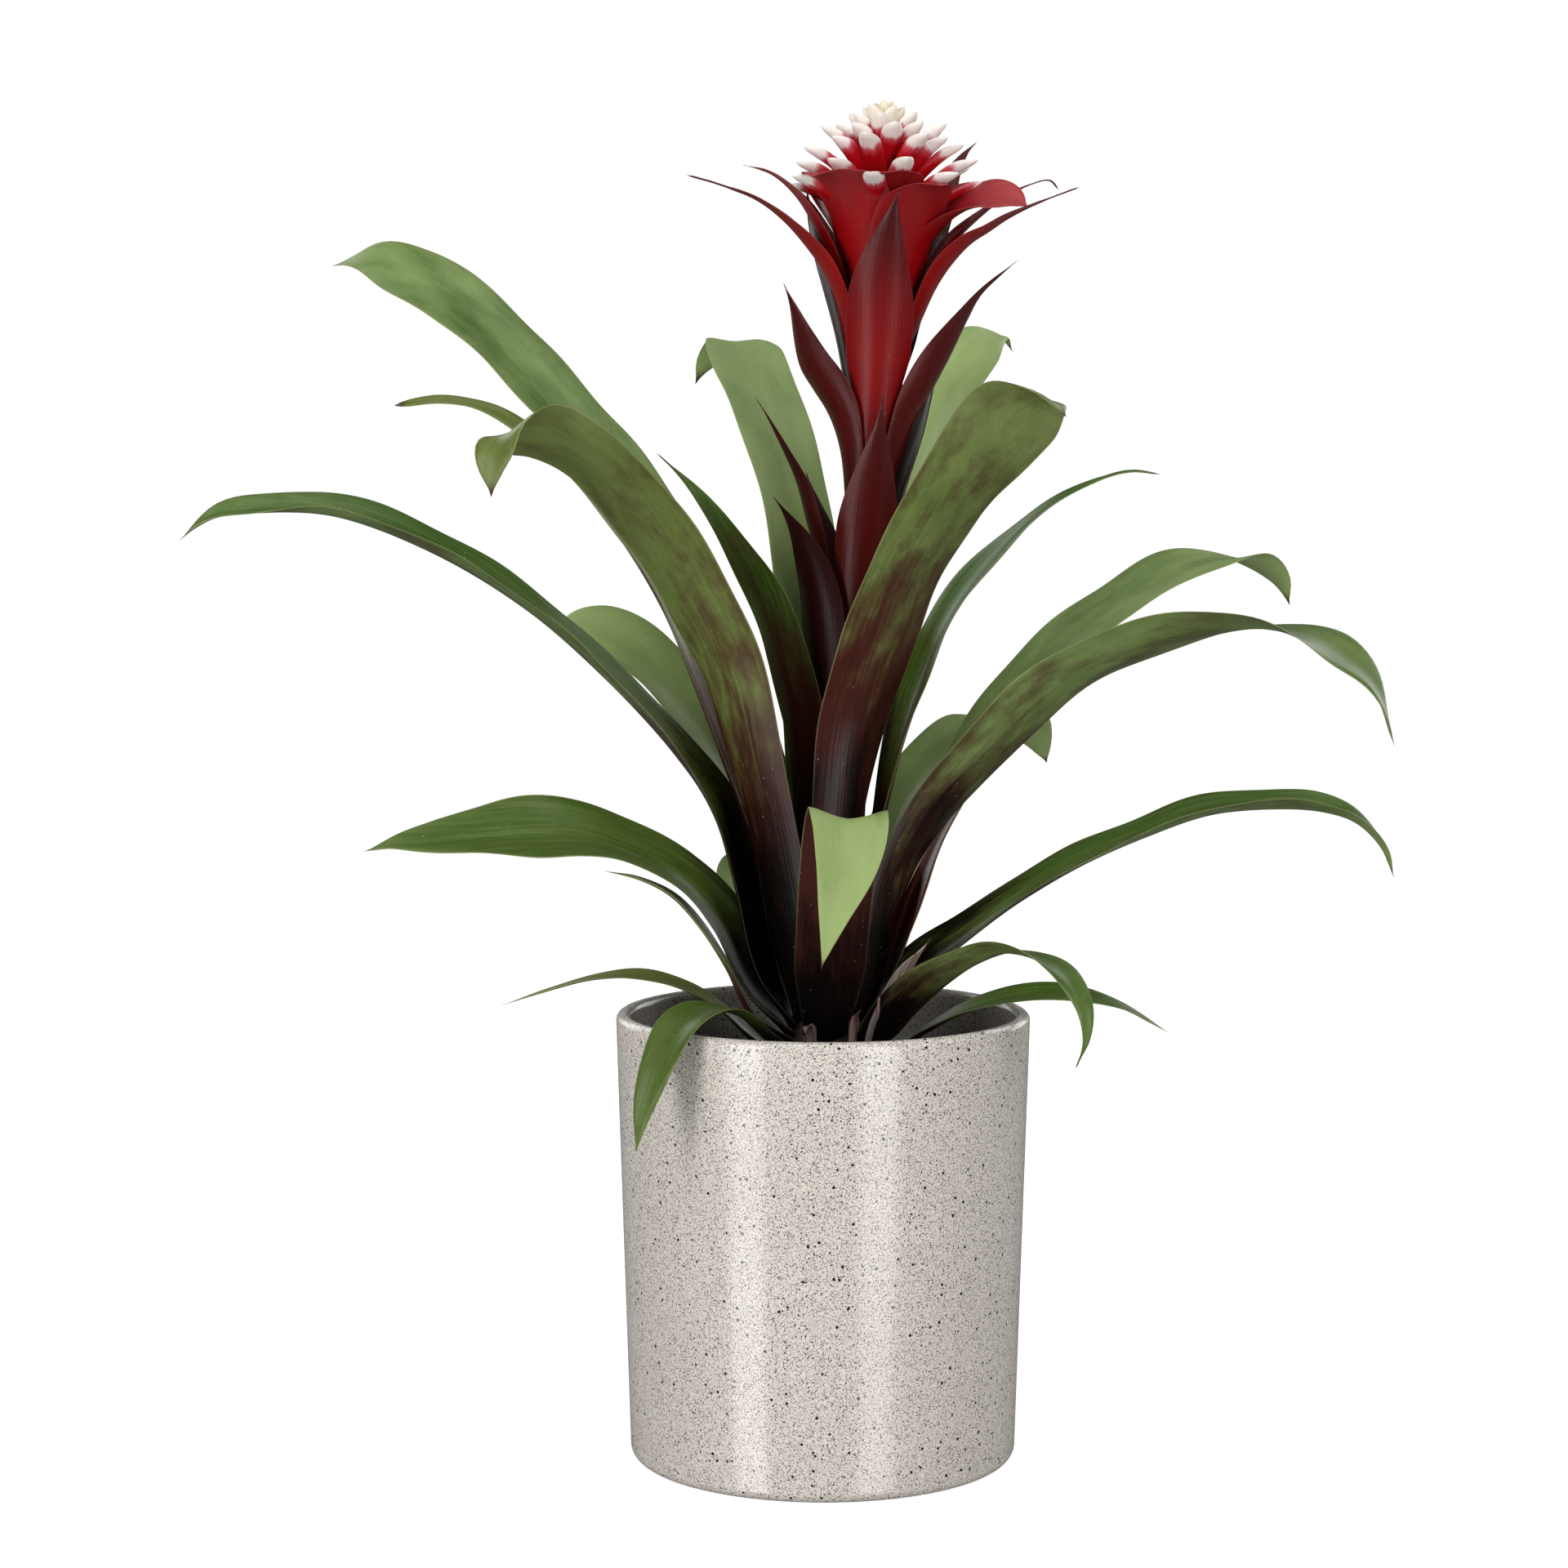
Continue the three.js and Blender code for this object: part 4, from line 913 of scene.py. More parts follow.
FOLIAGE = [
    dict(name="leaf_inner_left", heading=202, blade=25, neck=18, taper_at=0.5, tip_power=0.75,
         spine=[(9, 190, 0), (9.5, 229, 6), (12.5, 262, 18), (21, 290, 22), (33, 311, 32), (46, 328, 42),
                (59, 340, 30)],
         tint=(0.62, -0.15, 0.0)),
    dict(name="leaf_back_upright", heading=108, blade=28, taper_at=0.84,
         spine=[(12, 190, 3), (18, 250, 12), (27, 306, 15), (43, 333, 8), (65, 355, 0), (88, 370, -3, -1),
                (106, 378, -2, -3), (118, 381, 0, -4), (126, 379, 0, -1), (130, 373, -2, 4),
                (131, 366, -4, 7)],
         tint=(0.34, 0.78, 0.05)),
    dict(name="leaf_back_right_upright", heading=62, blade=29, taper_at=0.78, tip_power=0.6,
         spine=[(14, 190, -5), (24.5, 250, -20), (43, 294, -24), (60, 322, -20), (79, 346, -15),
                (99, 366, 0), (115, 378, 25), (130, 383, 30), (141, 383, 15), (149, 378, 5)],
         tint=(0.30, 0.72, 0.1)),
    dict(name="leaf_front_right_tall", heading=300, blade=31, neck=27, taper_at=0.86,
         spine=[(12, 185, 18), (18, 225, 10), (24, 250, 0), (38, 275, 0), (55, 299, 0), (74, 318, -5),
                (92, 333, -18), (108, 345, -30), (122, 353, -35), (136, 355, -20), (145, 350, -10)],
         tint=(0.58, 0.08, 0.55)),
    dict(name="leaf_back_left_tall", heading=140, blade=29, taper_at=0.82,
         spine=[(13.5, 185, 0), (29, 236, 0), (47, 272, -3), (66, 299, -5), (90, 328, -12),
                (120, 354, -15), (148, 377, -17), (175, 395, -25), (200, 407, -42), (220, 413, -50),
                (242, 411, -20)],
         tint=(0.32, 0.35, 0.1)),
    dict(name="leaf_right_slender", heading=352, blade=24, neck=18, taper_at=0.6, tip_power=0.9, tail=3,
         spine=[(16, 190, 8), (21.5, 222, 18), (26, 243, 26), (32, 262, 28), (43, 287, 25),
                (57, 305, 20), (76, 323, 18), (94, 332, 15), (103, 334, 12), (112, 333, 0)],
         tint=(0.60, -0.1, 0.1)),
    dict(name="leaf_left_slender", heading=178, blade=25, neck=19, taper_at=0.55, tip_power=0.8, tail=4.2,
         spine=[(15, 180, -3), (25, 213, -8), (39.5, 253, -10), (54, 289, -10), (75, 322, -12),
                (97, 345, -22), (113, 355, -38), (128, 358, -50), (144, 356, -30)],
         tint=(0.72, 0.0, 0.7)),
    dict(name="leaf_front_left_tall", heading=223, blade=30, neck=28, taper_at=0.84,
         spine=[(18, 180, -3), (26, 211, -4), (33.5, 236, 0), (43, 266, 8), (58, 292, 15), (76, 315, 15),
                (96, 333, 16), (112, 342, 22), (125, 346, 34), (134, 345, 12), (139, 338, -22),
                (140, 326, -28)],
         tint=(0.45, 0.05, 0.65)),
    dict(name="leaf_back_arched", heading=88, blade=28,
         spine=[(15, 168, 0), (27, 210, 0), (44, 248, 0), (70, 278, 0), (98, 291, 5), (124, 285, 8),
                (146, 262, 10)],
         tint=(0.35, 0.3, 0.1)),
    dict(name="leaf_back_left_arched", heading=140, blade=28, neck=25, taper_at=0.7,
         spine=[(16, 168, 0), (25.5, 203, 6), (41, 227, 6), (56, 247, -5), (74, 263, -12),
                (92, 275, -28), (108, 281, -45), (119, 281, -50), (126, 276, -45)],
         tint=(0.32, 0.72, 0.25)),
    dict(name="leaf_back_right_arched", heading=28, blade=28, taper_at=0.8,
         spine=[(16, 160, -5), (24, 182, 0), (37, 205, 2), (56, 232, 6), (75, 255, 9), (95, 273, 11),
                (119, 288, 13), (144, 300, 14), (163, 303, 6), (177, 301, -15), (186, 295, -28),
                (190, 286, -20)],
         tint=(0.40, 0.50, 0.1)),
    dict(name="leaf_front_right_arched", heading=340, blade=29, taper_at=0.78,
         spine=[(17, 155, -5), (22, 178, -8), (29, 201, -18), (40, 220, -28), (58, 240, -30),
                (81, 262, -28), (105, 275, -26), (129, 282, -20), (149, 284, -8), (164, 281, 8),
                (176, 275, 18), (186, 266, 8), (193, 247, -20)],
         tint=(0.40, 0.15, 0.2)),
    dict(name="leaf_left_long", heading=184, blade=28, neck=25, gutter_neck=42, gutter_tip=58, keel=1.0,
         spine=[(21, 165, -26), (28.5, 198, -30), (35.5, 219, -26), (50, 240, -14), (74, 266, -8),
                (99, 288, -8), (130, 307, -10), (163, 319.5, -14), (187, 321, -28), (200, 320, -38),
                (208, 316, -25), (214, 311, 0)],
         tint=(0.45, 0.05, 0.1)),
    dict(name="leaf_back_right_low", heading=57, blade=27, taper_at=0.8,
         spine=[(20, 160, -15), (35, 190, -18), (50, 214, -14), (70, 231, -6), (92, 242, -4),
                (113, 245, -8), (133, 241, -14), (145, 235, -20), (153, 226, -20)],
         tint=(0.30, 0.55, 0.1)),
    dict(name="leaf_right_hidden", heading=3, blade=16, taper_at=0.45,
         spine=[(21, 159, 8), (27.5, 176, 15), (33, 194, 20), (39, 209, 20), (46, 221, 15), (51, 228, 10)],
         tint=(1.3, 0.1, 0.0)),
    dict(name="leaf_back_low", heading=104, blade=26,
         spine=[(20, 150, 0), (42, 176, 0), (70, 192, 0), (96, 192, 5), (120, 178, 8), (136, 156, 8)],
         tint=(0.3, 0.3, 0.1)),
    dict(name="leaf_front_folded", heading=274, blade=26, neck=25, taper_at=0.70, tip_power=0.6,
         gutter_tip=40,
         spine=[(19, 150, 0), (38, 172, 0), (60, 197, 0), (82, 216, -2), (98, 225, -4), (107, 227, -5, 0),
                (113, 223, -5, 0), (121, 212, -4, -2), (129, 199, 0, -6), (135, 185, 0, -10)],
         tint=(0.78, 0.85, 0.2)),
    dict(name="leaf_right_long", heading=4, blade=26, neck=24, gutter_neck=40, gutter_tip=58, keel=1.0,
         spine=[(22, 154, 24), (33, 166, 24), (49, 177, 14), (68, 190, 9), (89, 202, 8), (110, 211, 6),
                (131, 218, 5), (152, 220, 5), (170, 219, 8), (182, 215, 8), (191, 206, 5), (195, 196, 0)],
         tint=(0.38, 0.08, 0.15)),
    dict(name="leaf_left_broad", heading=187, blade=30, neck=26, taper_at=0.62, gutter_tip=52, keel=0.9,
         spine=[(23, 158, -28), (35.5, 184, -32), (49, 198, -24), (66, 207, -25), (82, 212, -36),
                (98, 213, -44), (115, 212, -42), (131, 211, -45), (143, 210, -35), (154, 208, 0)],
         tint=(0.36, 0.10, 0.25)),
    dict(name="leaf_left_hidden", heading=197, blade=13, neck=13, taper_at=0.45,
         spine=[(26, 152, -10), (34, 168, -15), (43, 182, -14), (53, 193, -12), (64, 199, -8),
                (76, 202, 0)],
         tint=(0.5, 0.2, 0.0)),
    dict(name="leaf_front_right_low", heading=322, blade=19, neck=20, taper_at=0.52, tip_power=0.7,
         spine=[(24, 144, -12), (31, 153, -20), (42, 163, -22), (57, 172, -18), (73, 178, -14),
                (88, 177, -8), (99, 172, 4), (106, 163, 20), (107, 153, 30), (103, 143, 30)],
         tint=(0.35, 0.18, 0.1)),
    dict(name="leaf_front_left_drooping", heading=230, blade=17, neck=10, taper_at=0.55,
         spine=[(25, 143, -10), (33, 149, -10), (42, 155, -6), (52, 158, -4), (63, 158, -4),
                (73, 154, -8), (82, 144, -10), (89, 131, -12), (93, 117, 0)],
         tint=(0.25, 0.0, 0.3)),
    dict(name="leaf_left_small", heading=165, blade=10, neck=9, taper_at=0.45,
         spine=[(25, 141, 5), (35, 150, 2), (47, 157, -8), (63, 161, -12), (81, 160, -10), (99, 155, -5),
                (116, 149, 0)],
         tint=(0.25, 0.2, 0.95)),
    dict(name="leaf_right_small", heading=352, blade=15, neck=12, taper_at=0.5,
         spine=[(24, 138, 0), (36, 146, 2), (50, 153.5, 10), (66, 158, 20), (84, 159, 15), (100, 156, 10),
                (117, 147, 0)],
         tint=(0.35, 0.05, 0.2)),
]


# %% [markdown]
# A leaf is brown-black at its foot, its own maroon-brown darkened by painted shade deep in the crown, then
# maroon, then green, with pale mottling, purple-brown blotches and a thin pale margin. The zones could be
# painted by hand, but leaves differ mostly in where the green starts and how pale it is, so one material
# reads each leaf's tint and the share along the blade.

# %% Leaf skin
def leaf_skin():
    """Foot darkened by painted shade, maroon, then green with paler patches; thin pale margins and a dry
    tip.
    """
    material, tree, shader = new_material("leaf_skin", IOR=1.36)
    skin = blade_inputs(tree)
    uneven = plus(tree, around_middle(tree, skin["Mottle"], 0.55), around_middle(tree, skin["Streak"], 0.2))
    shifted = plus(tree, skin["along"], uneven)
    reach = times(tree, skin["first"], ramp(tree, skin["face"], 0.0, 1.0, 1.0, 0.72))
    above = maths(tree, "SUBTRACT", shifted, reach)
    greener = ramp(tree, above, -0.16, 0.14)
    paler = plus(tree, skin["second"], around_middle(tree, skin["Mottle"], 0.8))
    paler = plus(tree, paler, ramp(tree, skin["face"], 0.0, 1.0, 0.28, 0.0))
    # Paler towards the tip: partly the tips' own paler colour, partly a painted sheen where the leaves fold
    # over.
    paler = plus(tree, paler, ramp(tree, skin["along"], 0.72, 1.0, 0.0, 0.22))
    green = blend(tree, ramp(tree, paler, 0.0, 1.0), picked(46, 84, 12), picked(158, 182, 116))
    green = blend(tree, times(tree, skin["third"], 0.7), green, picked(122, 126, 58))
    green = blend(tree, ramp(tree, skin["Streak"], 0.35, 0.75, 0.0, 0.22), green, picked(140, 156, 92))
    under = ramp(tree, skin["face"], 0.0, 1.0, 0.8, 0.12)
    blotch = times(tree, ramp(tree, skin["Blotch"], 0.40, 0.68), under)
    blotch = times(tree, blotch, ramp(tree, above, 0.10, 0.55, 1.0, 0.25))
    green = blend(tree, blotch, green, picked(82, 58, 40))
    # The near-black at the very foot is painted shade deep in the crown; the maroon above it is the leaf's
    # own.
    brown = blend(tree, ramp(tree, shifted, 0.12, 0.50), picked(9, 5, 4), picked(76, 33, 26))
    colour = blend(tree, greener, brown, green)
    colour = blend(tree, ramp(tree, skin["along"], 0.978, 0.995), colour, picked(84, 54, 34))
    higher = ramp(tree, skin["along"], 0.2, 0.5, 0.1, 0.42)
    margin = times(tree, ramp(tree, skin["edge"], 0.955, 0.985), higher)
    colour = blend(tree, margin, colour, picked(166, 164, 112))
    colour = blend(tree, times(tree, skin["Dust"], 0.45), colour, picked(205, 205, 190))
    roughness = plus(tree, ramp(tree, paler, 0.0, 1.0, 0.30, 0.46), times(tree, skin["Streak"], 0.08))
    feed(tree, shader, colour, roughness, skin["Vein"], 0.00010)
    return material


leaf_material = leaf_skin()
print("the leaf skin has", len(leaf_material.node_tree.nodes), "nodes")


# %% Make the foliage
def turn_between(first, second):
    """The smaller angle between two headings, in degrees."""
    return abs((first - second + 540) % 360 - 180)


def foliage_blades():
    """Gives every leaf its clasping foot: its radius by the nesting rule, its height from the crown's
    cone, and its width as the arc that it wraps."""
    placed = []
    least = STEM_RADIUS_LOW + FIT + LEAF_THICK / 2
    for row in FOLIAGE:
        foot = least
        for inner in placed:
            if turn_between(row["heading"], inner["heading"]) < 2 * SHEATH_HALF_WRAP:
                foot = max(foot, inner["foot"] + SHEATH_STEP)
        grown = (STUMP_RADIUS - (foot - FIT - LEAF_THICK / 2)) / (STUMP_RADIUS - STEM_RADIUS_LOW)
        foot_z = CROWN_FOOT_Z + (CROWN_TOP_Z - CROWN_FOOT_Z) * grown
        form = dict(STRAP, foot=foot, foot_wrap=SHEATH_HALF_WRAP, **row)
        form.update(foot_width=2 * math.radians(SHEATH_HALF_WRAP) * foot,
                    spine=[(foot, foot_z, 0)] + row["spine"])
        placed.append(form)
    return placed


leaf_chances = np.random.default_rng(3).uniform(0.1, 1.0, len(FOLIAGE))
for form, chance in zip(foliage_blades(), leaf_chances):
    make_blade(form, form["name"], leaf_material, "leaf_green", (0.0, 0.0, 0.0), chance)
print("leaves:", len(FOLIAGE))

# %% [markdown]
# ## Stem
# The flower stem is a tapered round tube that leans to the right. A curve with a bevel would do, but the
# bracts have to know its axis and radius at every height, so both are small functions of the height.

# %% Stem
STEM_SIDES = 48
STEM_RINGS = 60
STEM_BROWN_TO = 0.20
STEM_RED_FROM = 0.38


def stem_radius(z):
    """Radius of the flower stem, and of the conical crown and stump below it."""
    heights = [CROWN_FOOT_Z, CROWN_TOP_Z, STEM_TOP_Z]
    return np.interp(z, heights, [STUMP_RADIUS, STEM_RADIUS_LOW, STEM_RADIUS_HIGH])


def stem_skin():
    """Smooth plant skin: brown-green below, dark red above, with lengthwise streaks."""
    material, tree, shader = new_material("stem_skin", Roughness=0.5)
    position = object_place(tree)
    long = node(tree, "ShaderNodeMapping", {0: position, 3: (1.0, 1.0, 0.05)}).outputs[0]
    streak = noise(tree, long, 700.0, 3.0)
    height = axes(tree, position)["Z"]
    redder = ramp(tree, height, STEM_BROWN_TO, STEM_RED_FROM)
    colour = blend(tree, redder, picked(52, 40, 28), picked(96, 22, 24))
    colour = blend(tree, ramp(tree, streak, 0.4, 0.7, 0.0, 0.5), colour, picked(24, 14, 12))
    feed(tree, shader, colour, None, streak, 0.0002)
    return material


def make_stem():
    """A tube of circles round the leaning axis, with closed ends."""
    upper = np.linspace(CROWN_FOOT_Z + 6, STEM_TOP_Z, STEM_RINGS)
    z = np.concatenate([[STUMP_FOOT_Z, STUMP_FOOT_Z, CROWN_FOOT_Z], upper, [STEM_TOP_Z]])
    radius = stem_radius(z)
    radius[0] = radius[-1] = NEAR_AXIS
    points = circles(radius, z, STEM_SIDES, stem_x(z))
    return new_piece("flower_stem", points, closed_tube(len(z), STEM_SIDES), stem_skin())


place(make_stem(), "stem", "stem_skin")

# %% [markdown]
# ## Stem bracts
# Bracts are short leaves that clasp the stem, dark maroon low down and crimson in the cup under the
# flower. They could be rows of the foliage table, but a bract's spine is measured from the stem's leaning
# axis and its foot fits round the stem, so they have a table of their own. foot is the height of the foot.
# A tint is how red the bract is, how dark its tip is, and how much painted pale sheen its upper half has.
# A row without one takes the tint that its height gives.

# %% Stem bract table
BRACT_HALF_WRAP = 56.0
BRACT_THICK = 0.7

STEM_BRACTS = [
    dict(name="cup_bract_front", heading=268, foot=389, blade=30, taper_at=0.7, tip_power=0.45,
         spine=[(8.5, 399), (11.5, 409), (15.5, 418), (20.5, 426), (27, 430), (32, 430)]),
    dict(name="cup_bract_back_right", heading=28, foot=387.5, blade=26, taper_at=0.6, tip_power=0.5,
         spine=[(9, 399), (12.5, 409), (17.5, 419), (24, 426.5), (33, 431)]),
    dict(name="cup_bract_back_left", heading=134, foot=385.5, blade=26, taper_at=0.6, tip_power=0.5,
         spine=[(11, 398), (14.5, 408), (19.5, 417), (27, 425), (37, 429)]),
    dict(name="cup_bract_right", heading=348, foot=383, blade=24, taper_at=0.78, tip_power=0.45,
         spine=[(9.5, 394), (13, 404, 2), (18.5, 413, 8), (26, 419.5, 18), (34, 423, 28), (42, 423.5, 34),
                (48, 421, 34)],
         tint=(0.85, 0.0, 0.9)),
    dict(name="cup_bract_front_right", heading=300, foot=376, blade=29, taper_at=0.7, tip_power=0.45,
         spine=[(10.5, 392), (14, 403), (18.5, 413), (24, 421.5), (30.5, 426), (36, 426)]),
    dict(name="cup_bract_back", heading=82, foot=379.5, blade=28, taper_at=0.6, tip_power=0.5,
         spine=[(11, 391), (15, 403), (21, 414), (28.5, 423), (39, 428)]),
    dict(name="cup_bract_front_left", heading=232, foot=381, blade=33, taper_at=0.72, tip_power=0.45,
         spine=[(9.2, 390), (12, 402), (15.5, 412), (20.5, 421), (27, 427.5), (34, 430), (39, 429)],
         tint=(0.95, 0.0, 0.7)),
    dict(name="stem_bract_01", heading=172, foot=374, blade=21, taper_at=0.6, tip_power=0.8,
         spine=[(11, 388), (16.2, 402), (22.7, 414.5), (29.5, 425.5), (38, 433), (48, 436)],
         tint=(0.8, 0.6, 0.7)),
    dict(name="stem_bract_02", heading=12, foot=371, blade=15, tip_power=1.0, tail=2,
         spine=[(10.5, 386), (17, 400), (24, 410), (32, 418), (41, 425), (50, 429.5), (57, 431), (60, 428)],
         tint=(0.8, 0.9, 0.4)),
    dict(name="stem_bract_03", heading=350, foot=366, blade=22, tip_power=1.0, tail=2.2,
         spine=[(12, 381), (18.5, 396), (24.5, 404.5, 3), (29.5, 409.5, 6), (35, 413, 8), (41, 417, 8),
                (50, 421.5, 6), (65, 427, 0)],
         tint=(0.8, 0.9, 0.5)),
    dict(name="stem_bract_04", heading=190, foot=362, blade=21, tip_power=1.1, tail=2.4,
         spine=[(11.5, 377), (15.5, 391, -3), (20.5, 401, -6), (26.5, 409, -9), (34, 417, -10),
                (43, 423.5, -5), (55, 428), (66, 431)],
         tint=(0.8, 1.0, 0.5)),
    dict(name="stem_bract_05", heading=100, foot=358, blade=19,
         spine=[(10.5, 375), (14.5, 391), (22, 406), (31, 418), (42, 427), (53, 432)]),
    dict(name="stem_bract_06", heading=55, foot=353, blade=20,
         spine=[(11.5, 370), (16, 384), (21.5, 397), (27.5, 410.5), (35, 424), (41, 434), (49, 442),
                (57, 447)],
         tint=(0.35, 0.8, 0.2)),
    dict(name="stem_bract_07", heading=150, foot=348, blade=21,
         spine=[(11.5, 366), (15.5, 380), (20, 393), (24.5, 406), (28, 418), (30, 430)],
         tint=(0.15, 0.6, 0.0)),
    dict(name="stem_bract_08", heading=268, foot=330, blade=25, taper_at=0.52, tip_power=0.62, neck=16,
         spine=[(8, 345), (11, 362), (14.5, 380), (19, 396), (24, 410, 0, 2), (29, 424, 0, 5)],
         tint=(0.62, 1.0, 0.0)),
    dict(name="stem_bract_09", heading=200, foot=318, blade=20,
         spine=[(9, 338, 5), (13, 351, 12), (18.5, 361.5, 22), (23.5, 369.5, 28), (28, 379.5, 25),
                (31.5, 388.5, 15), (35, 396)],
         tint=(0.28, 0.5, 0.0)),
    dict(name="stem_bract_10", heading=345, foot=313, blade=20,
         spine=[(9, 334, -3), (13, 351, -10), (18, 363, -18), (23.5, 375, -20), (28.5, 384.5, -12),
                (34, 393), (46, 403.5)],
         tint=(0.28, 0.7, 0.2)),
    dict(name="stem_bract_11", heading=88, foot=306, blade=21,
         spine=[(10.5, 328), (15, 347), (21.5, 366), (30, 382), (41, 394)],
         tint=(0.2, 0.5, 0.0)),
    dict(name="stem_bract_12", heading=24, foot=286, blade=20,
         spine=[(9.5, 306), (13, 328), (17, 345), (20, 360), (22, 374)],
         tint=(0.15, 0.5, 0.0)),
    dict(name="stem_bract_13", heading=275, foot=272, blade=22, tip_power=0.8,
         spine=[(9, 292), (13, 312), (18, 332), (22, 348), (24, 359)]),
    dict(name="stem_bract_14", heading=190, foot=262, blade=12, neck=12,
         spine=[(9.5, 284), (14.5, 306, 6), (18.5, 317, 14), (23, 330, 18), (28.5, 340, 15),
                (36, 352, 10), (41, 359)]),
    dict(name="stem_bract_15", heading=135, foot=244, blade=21,
         spine=[(9, 268), (13, 292), (20, 315), (30, 334)]),
    dict(name="stem_bract_16", heading=215, foot=226, blade=21,
         spine=[(9, 252, 5), (13, 276, 14), (17.5, 297, 24), (24.5, 311, 25), (31, 319, 15), (38, 326)]),
    dict(name="stem_bract_17", heading=30, foot=206, blade=20,
         spine=[(9, 230), (12, 254), (18, 276), (27, 295)]),
]


# %% [markdown]
# A bract has a leaf's veins and mottling under maroon or crimson. It could share the leaf's material, but a
# bract's colour goes by its height on the stem and not by zones along the blade, so it has a material of
# its own, with the same skin group in it.

# %% Bract skin
def bract_skin():
    """Maroon to crimson by the tint, a darker tip, painted pink sheen towards the tip and fine streaks."""
    material, tree, shader = new_material("bract_skin", IOR=1.36)
    skin = blade_inputs(tree)
    red = plus(tree, skin["first"], around_middle(tree, skin["Mottle"], 0.3))
    colour = blend(tree, ramp(tree, red, 0.0, 1.0), picked(40, 13, 12), picked(164, 8, 15))
    colour = blend(tree, ramp(tree, skin["along"], 0.0, 0.4, 0.75, 0.0), colour, picked(30, 3, 5))
    uneven = plus(tree, skin["along"], around_middle(tree, skin["Mottle"], 0.3))
    dark = times(tree, ramp(tree, uneven, 0.40, 1.0), skin["second"])
    colour = blend(tree, dark, colour, picked(58, 12, 14))
    # A painted pale pink sheen: a highlight painted on the upper half and towards the edges.
    outer = plus(tree, uneven, ramp(tree, skin["edge"], 0.5, 1.0, 0.0, 0.18))
    painted_sheen = times(tree, ramp(tree, outer, 0.50, 1.0), skin["third"])
    painted_sheen = times(tree, painted_sheen, ramp(tree, skin["Streak"], 0.3, 0.7, 0.3, 0.7))
    colour = blend(tree, painted_sheen, colour, picked(190, 92, 98))
    colour = blend(tree, ramp(tree, skin["Streak"], 0.5, 0.8, 0.0, 0.3), colour, picked(22, 4, 6))
    colour = blend(tree, ramp(tree, skin["edge"], 0.96, 0.99, 0.0, 0.25), colour, picked(140, 74, 66))
    colour = blend(tree, times(tree, skin["Dust"], 0.2), colour, picked(205, 190, 180))
    # Where more sheen is painted, the roughness is a little higher.
    sheen_roughness = ramp(tree, skin["third"], 0.0, 1.0, 0.32, 0.42)
    roughness = plus(tree, sheen_roughness, times(tree, skin["Streak"], 0.08))
    feed(tree, shader, colour, roughness, skin["Vein"], 0.00006)
    return material


bract_material = bract_skin()
print("the bract skin has", len(bract_material.node_tree.nodes), "nodes")

# %% Make the stem bracts
MAROON_BELOW_Z = 225
CRIMSON_ABOVE_Z = 385


def height_tint(foot):
    """Redder, less dark at the tip and with more painted sheen the higher the foot is between two heights.
    """
    red = float(ease((foot - MAROON_BELOW_Z) / (CRIMSON_ABOVE_Z - MAROON_BELOW_Z)))
    return 0.08 + 0.92 * red, 0.6 - 0.5 * red, 0.3 * red


def stem_bract(row):
    """A bract whose foot fits round the stem. Its spine leans with the stem: the lean since the foot is
    split into its part along the heading and its part to the side."""
    foot = float(stem_radius(row["foot"])) + FIT + BRACT_THICK / 2
    heading = math.radians(row["heading"])
    spine = knot_rows([(foot, row["foot"])] + row["spine"])
    lean = stem_x(spine[:, 1]) - stem_x(row["foot"])
    spine[:, 0] += lean * math.cos(heading)
    spine[:, 3] -= lean * math.sin(heading)
    form = dict(BRACT, tint=height_tint(row["foot"]), foot_wrap=BRACT_HALF_WRAP)
    form.update(row)
    form.update(spine=spine, foot_width=2 * math.radians(BRACT_HALF_WRAP) * foot)
    return form


bract_chances = np.random.default_rng(5).uniform(0.1, 1.0, len(STEM_BRACTS))
for row, chance in zip(STEM_BRACTS, bract_chances):
    origin = (float(stem_x(row["foot"])), 0.0, 0.0)
    make_blade(stem_bract(row), row["name"], bract_material, "bract_red", origin, chance)
print("stem bracts:", len(STEM_BRACTS))

# %% [markdown]
# ## Dry scraps at the foot
# Old leaf feet fray: a torn pale sheath with red veins stands between two leaves on the right, and a few
# brown fibres stick up at the front. They could be cut from the leaves themselves, but short narrow blades
# of their own are simpler. They stand for no CAD node. Their tint is how brown they are.

# %% Dry scraps
SCRAPS = [
    dict(name="torn_sheath", heading=334, blade=15, neck=15, tint=(0.0, 0.0, 0.0),
         spine=[(22, 148), (28, 160), (34, 171), (40, 179, 20)]),
    dict(name="dry_fibre_1", heading=291, blade=4, neck=3, tint=(0.75, 0.0, 0.0),
         spine=[(27, 144), (29, 151), (31, 155, 30), (35, 157, 60)]),
    dict(name="dry_fibre_2", heading=303, blade=3, neck=3, tint=(0.75, 0.0, 0.0),
         spine=[(27, 143), (30, 150), (33, 156, -30), (34, 161, -70)]),
    dict(name="dry_fibre_3", heading=262, blade=5, neck=4, tint=(0.75, 0.0, 0.0),
         spine=[(27, 143), (31, 149), (36, 152, 20), (42, 151, 50)]),
]


def scrap_skin():
    """Papery tissue: straw to whitish, with narrow red and brown veins."""
    material, tree, shader = new_material("scrap_skin", Roughness=0.75)
    skin = blade_inputs(tree)
    colour = blend(tree, skin["Mottle"], picked(196, 172, 160), picked(238, 226, 216))
    colour = blend(tree, ramp(tree, skin["Streak"], 0.50, 0.60), colour, picked(168, 34, 44))
    colour = blend(tree, skin["first"], colour, picked(44, 31, 25))
    feed(tree, shader, colour, None, skin["Vein"], 0.0003)
    return material


scrap_material = scrap_skin()
for number, row in enumerate(SCRAPS):
    form = dict(BRACT, foot_width=row["neck"], foot_wrap=30)
    form.update(row, hugs=False, tail=1.0)
    make_blade(form, None, scrap_material, "leaf_green", (0.0, 0.0, 0.0), 0.2 * number + 0.1)
print("dry scraps:", len(SCRAPS))
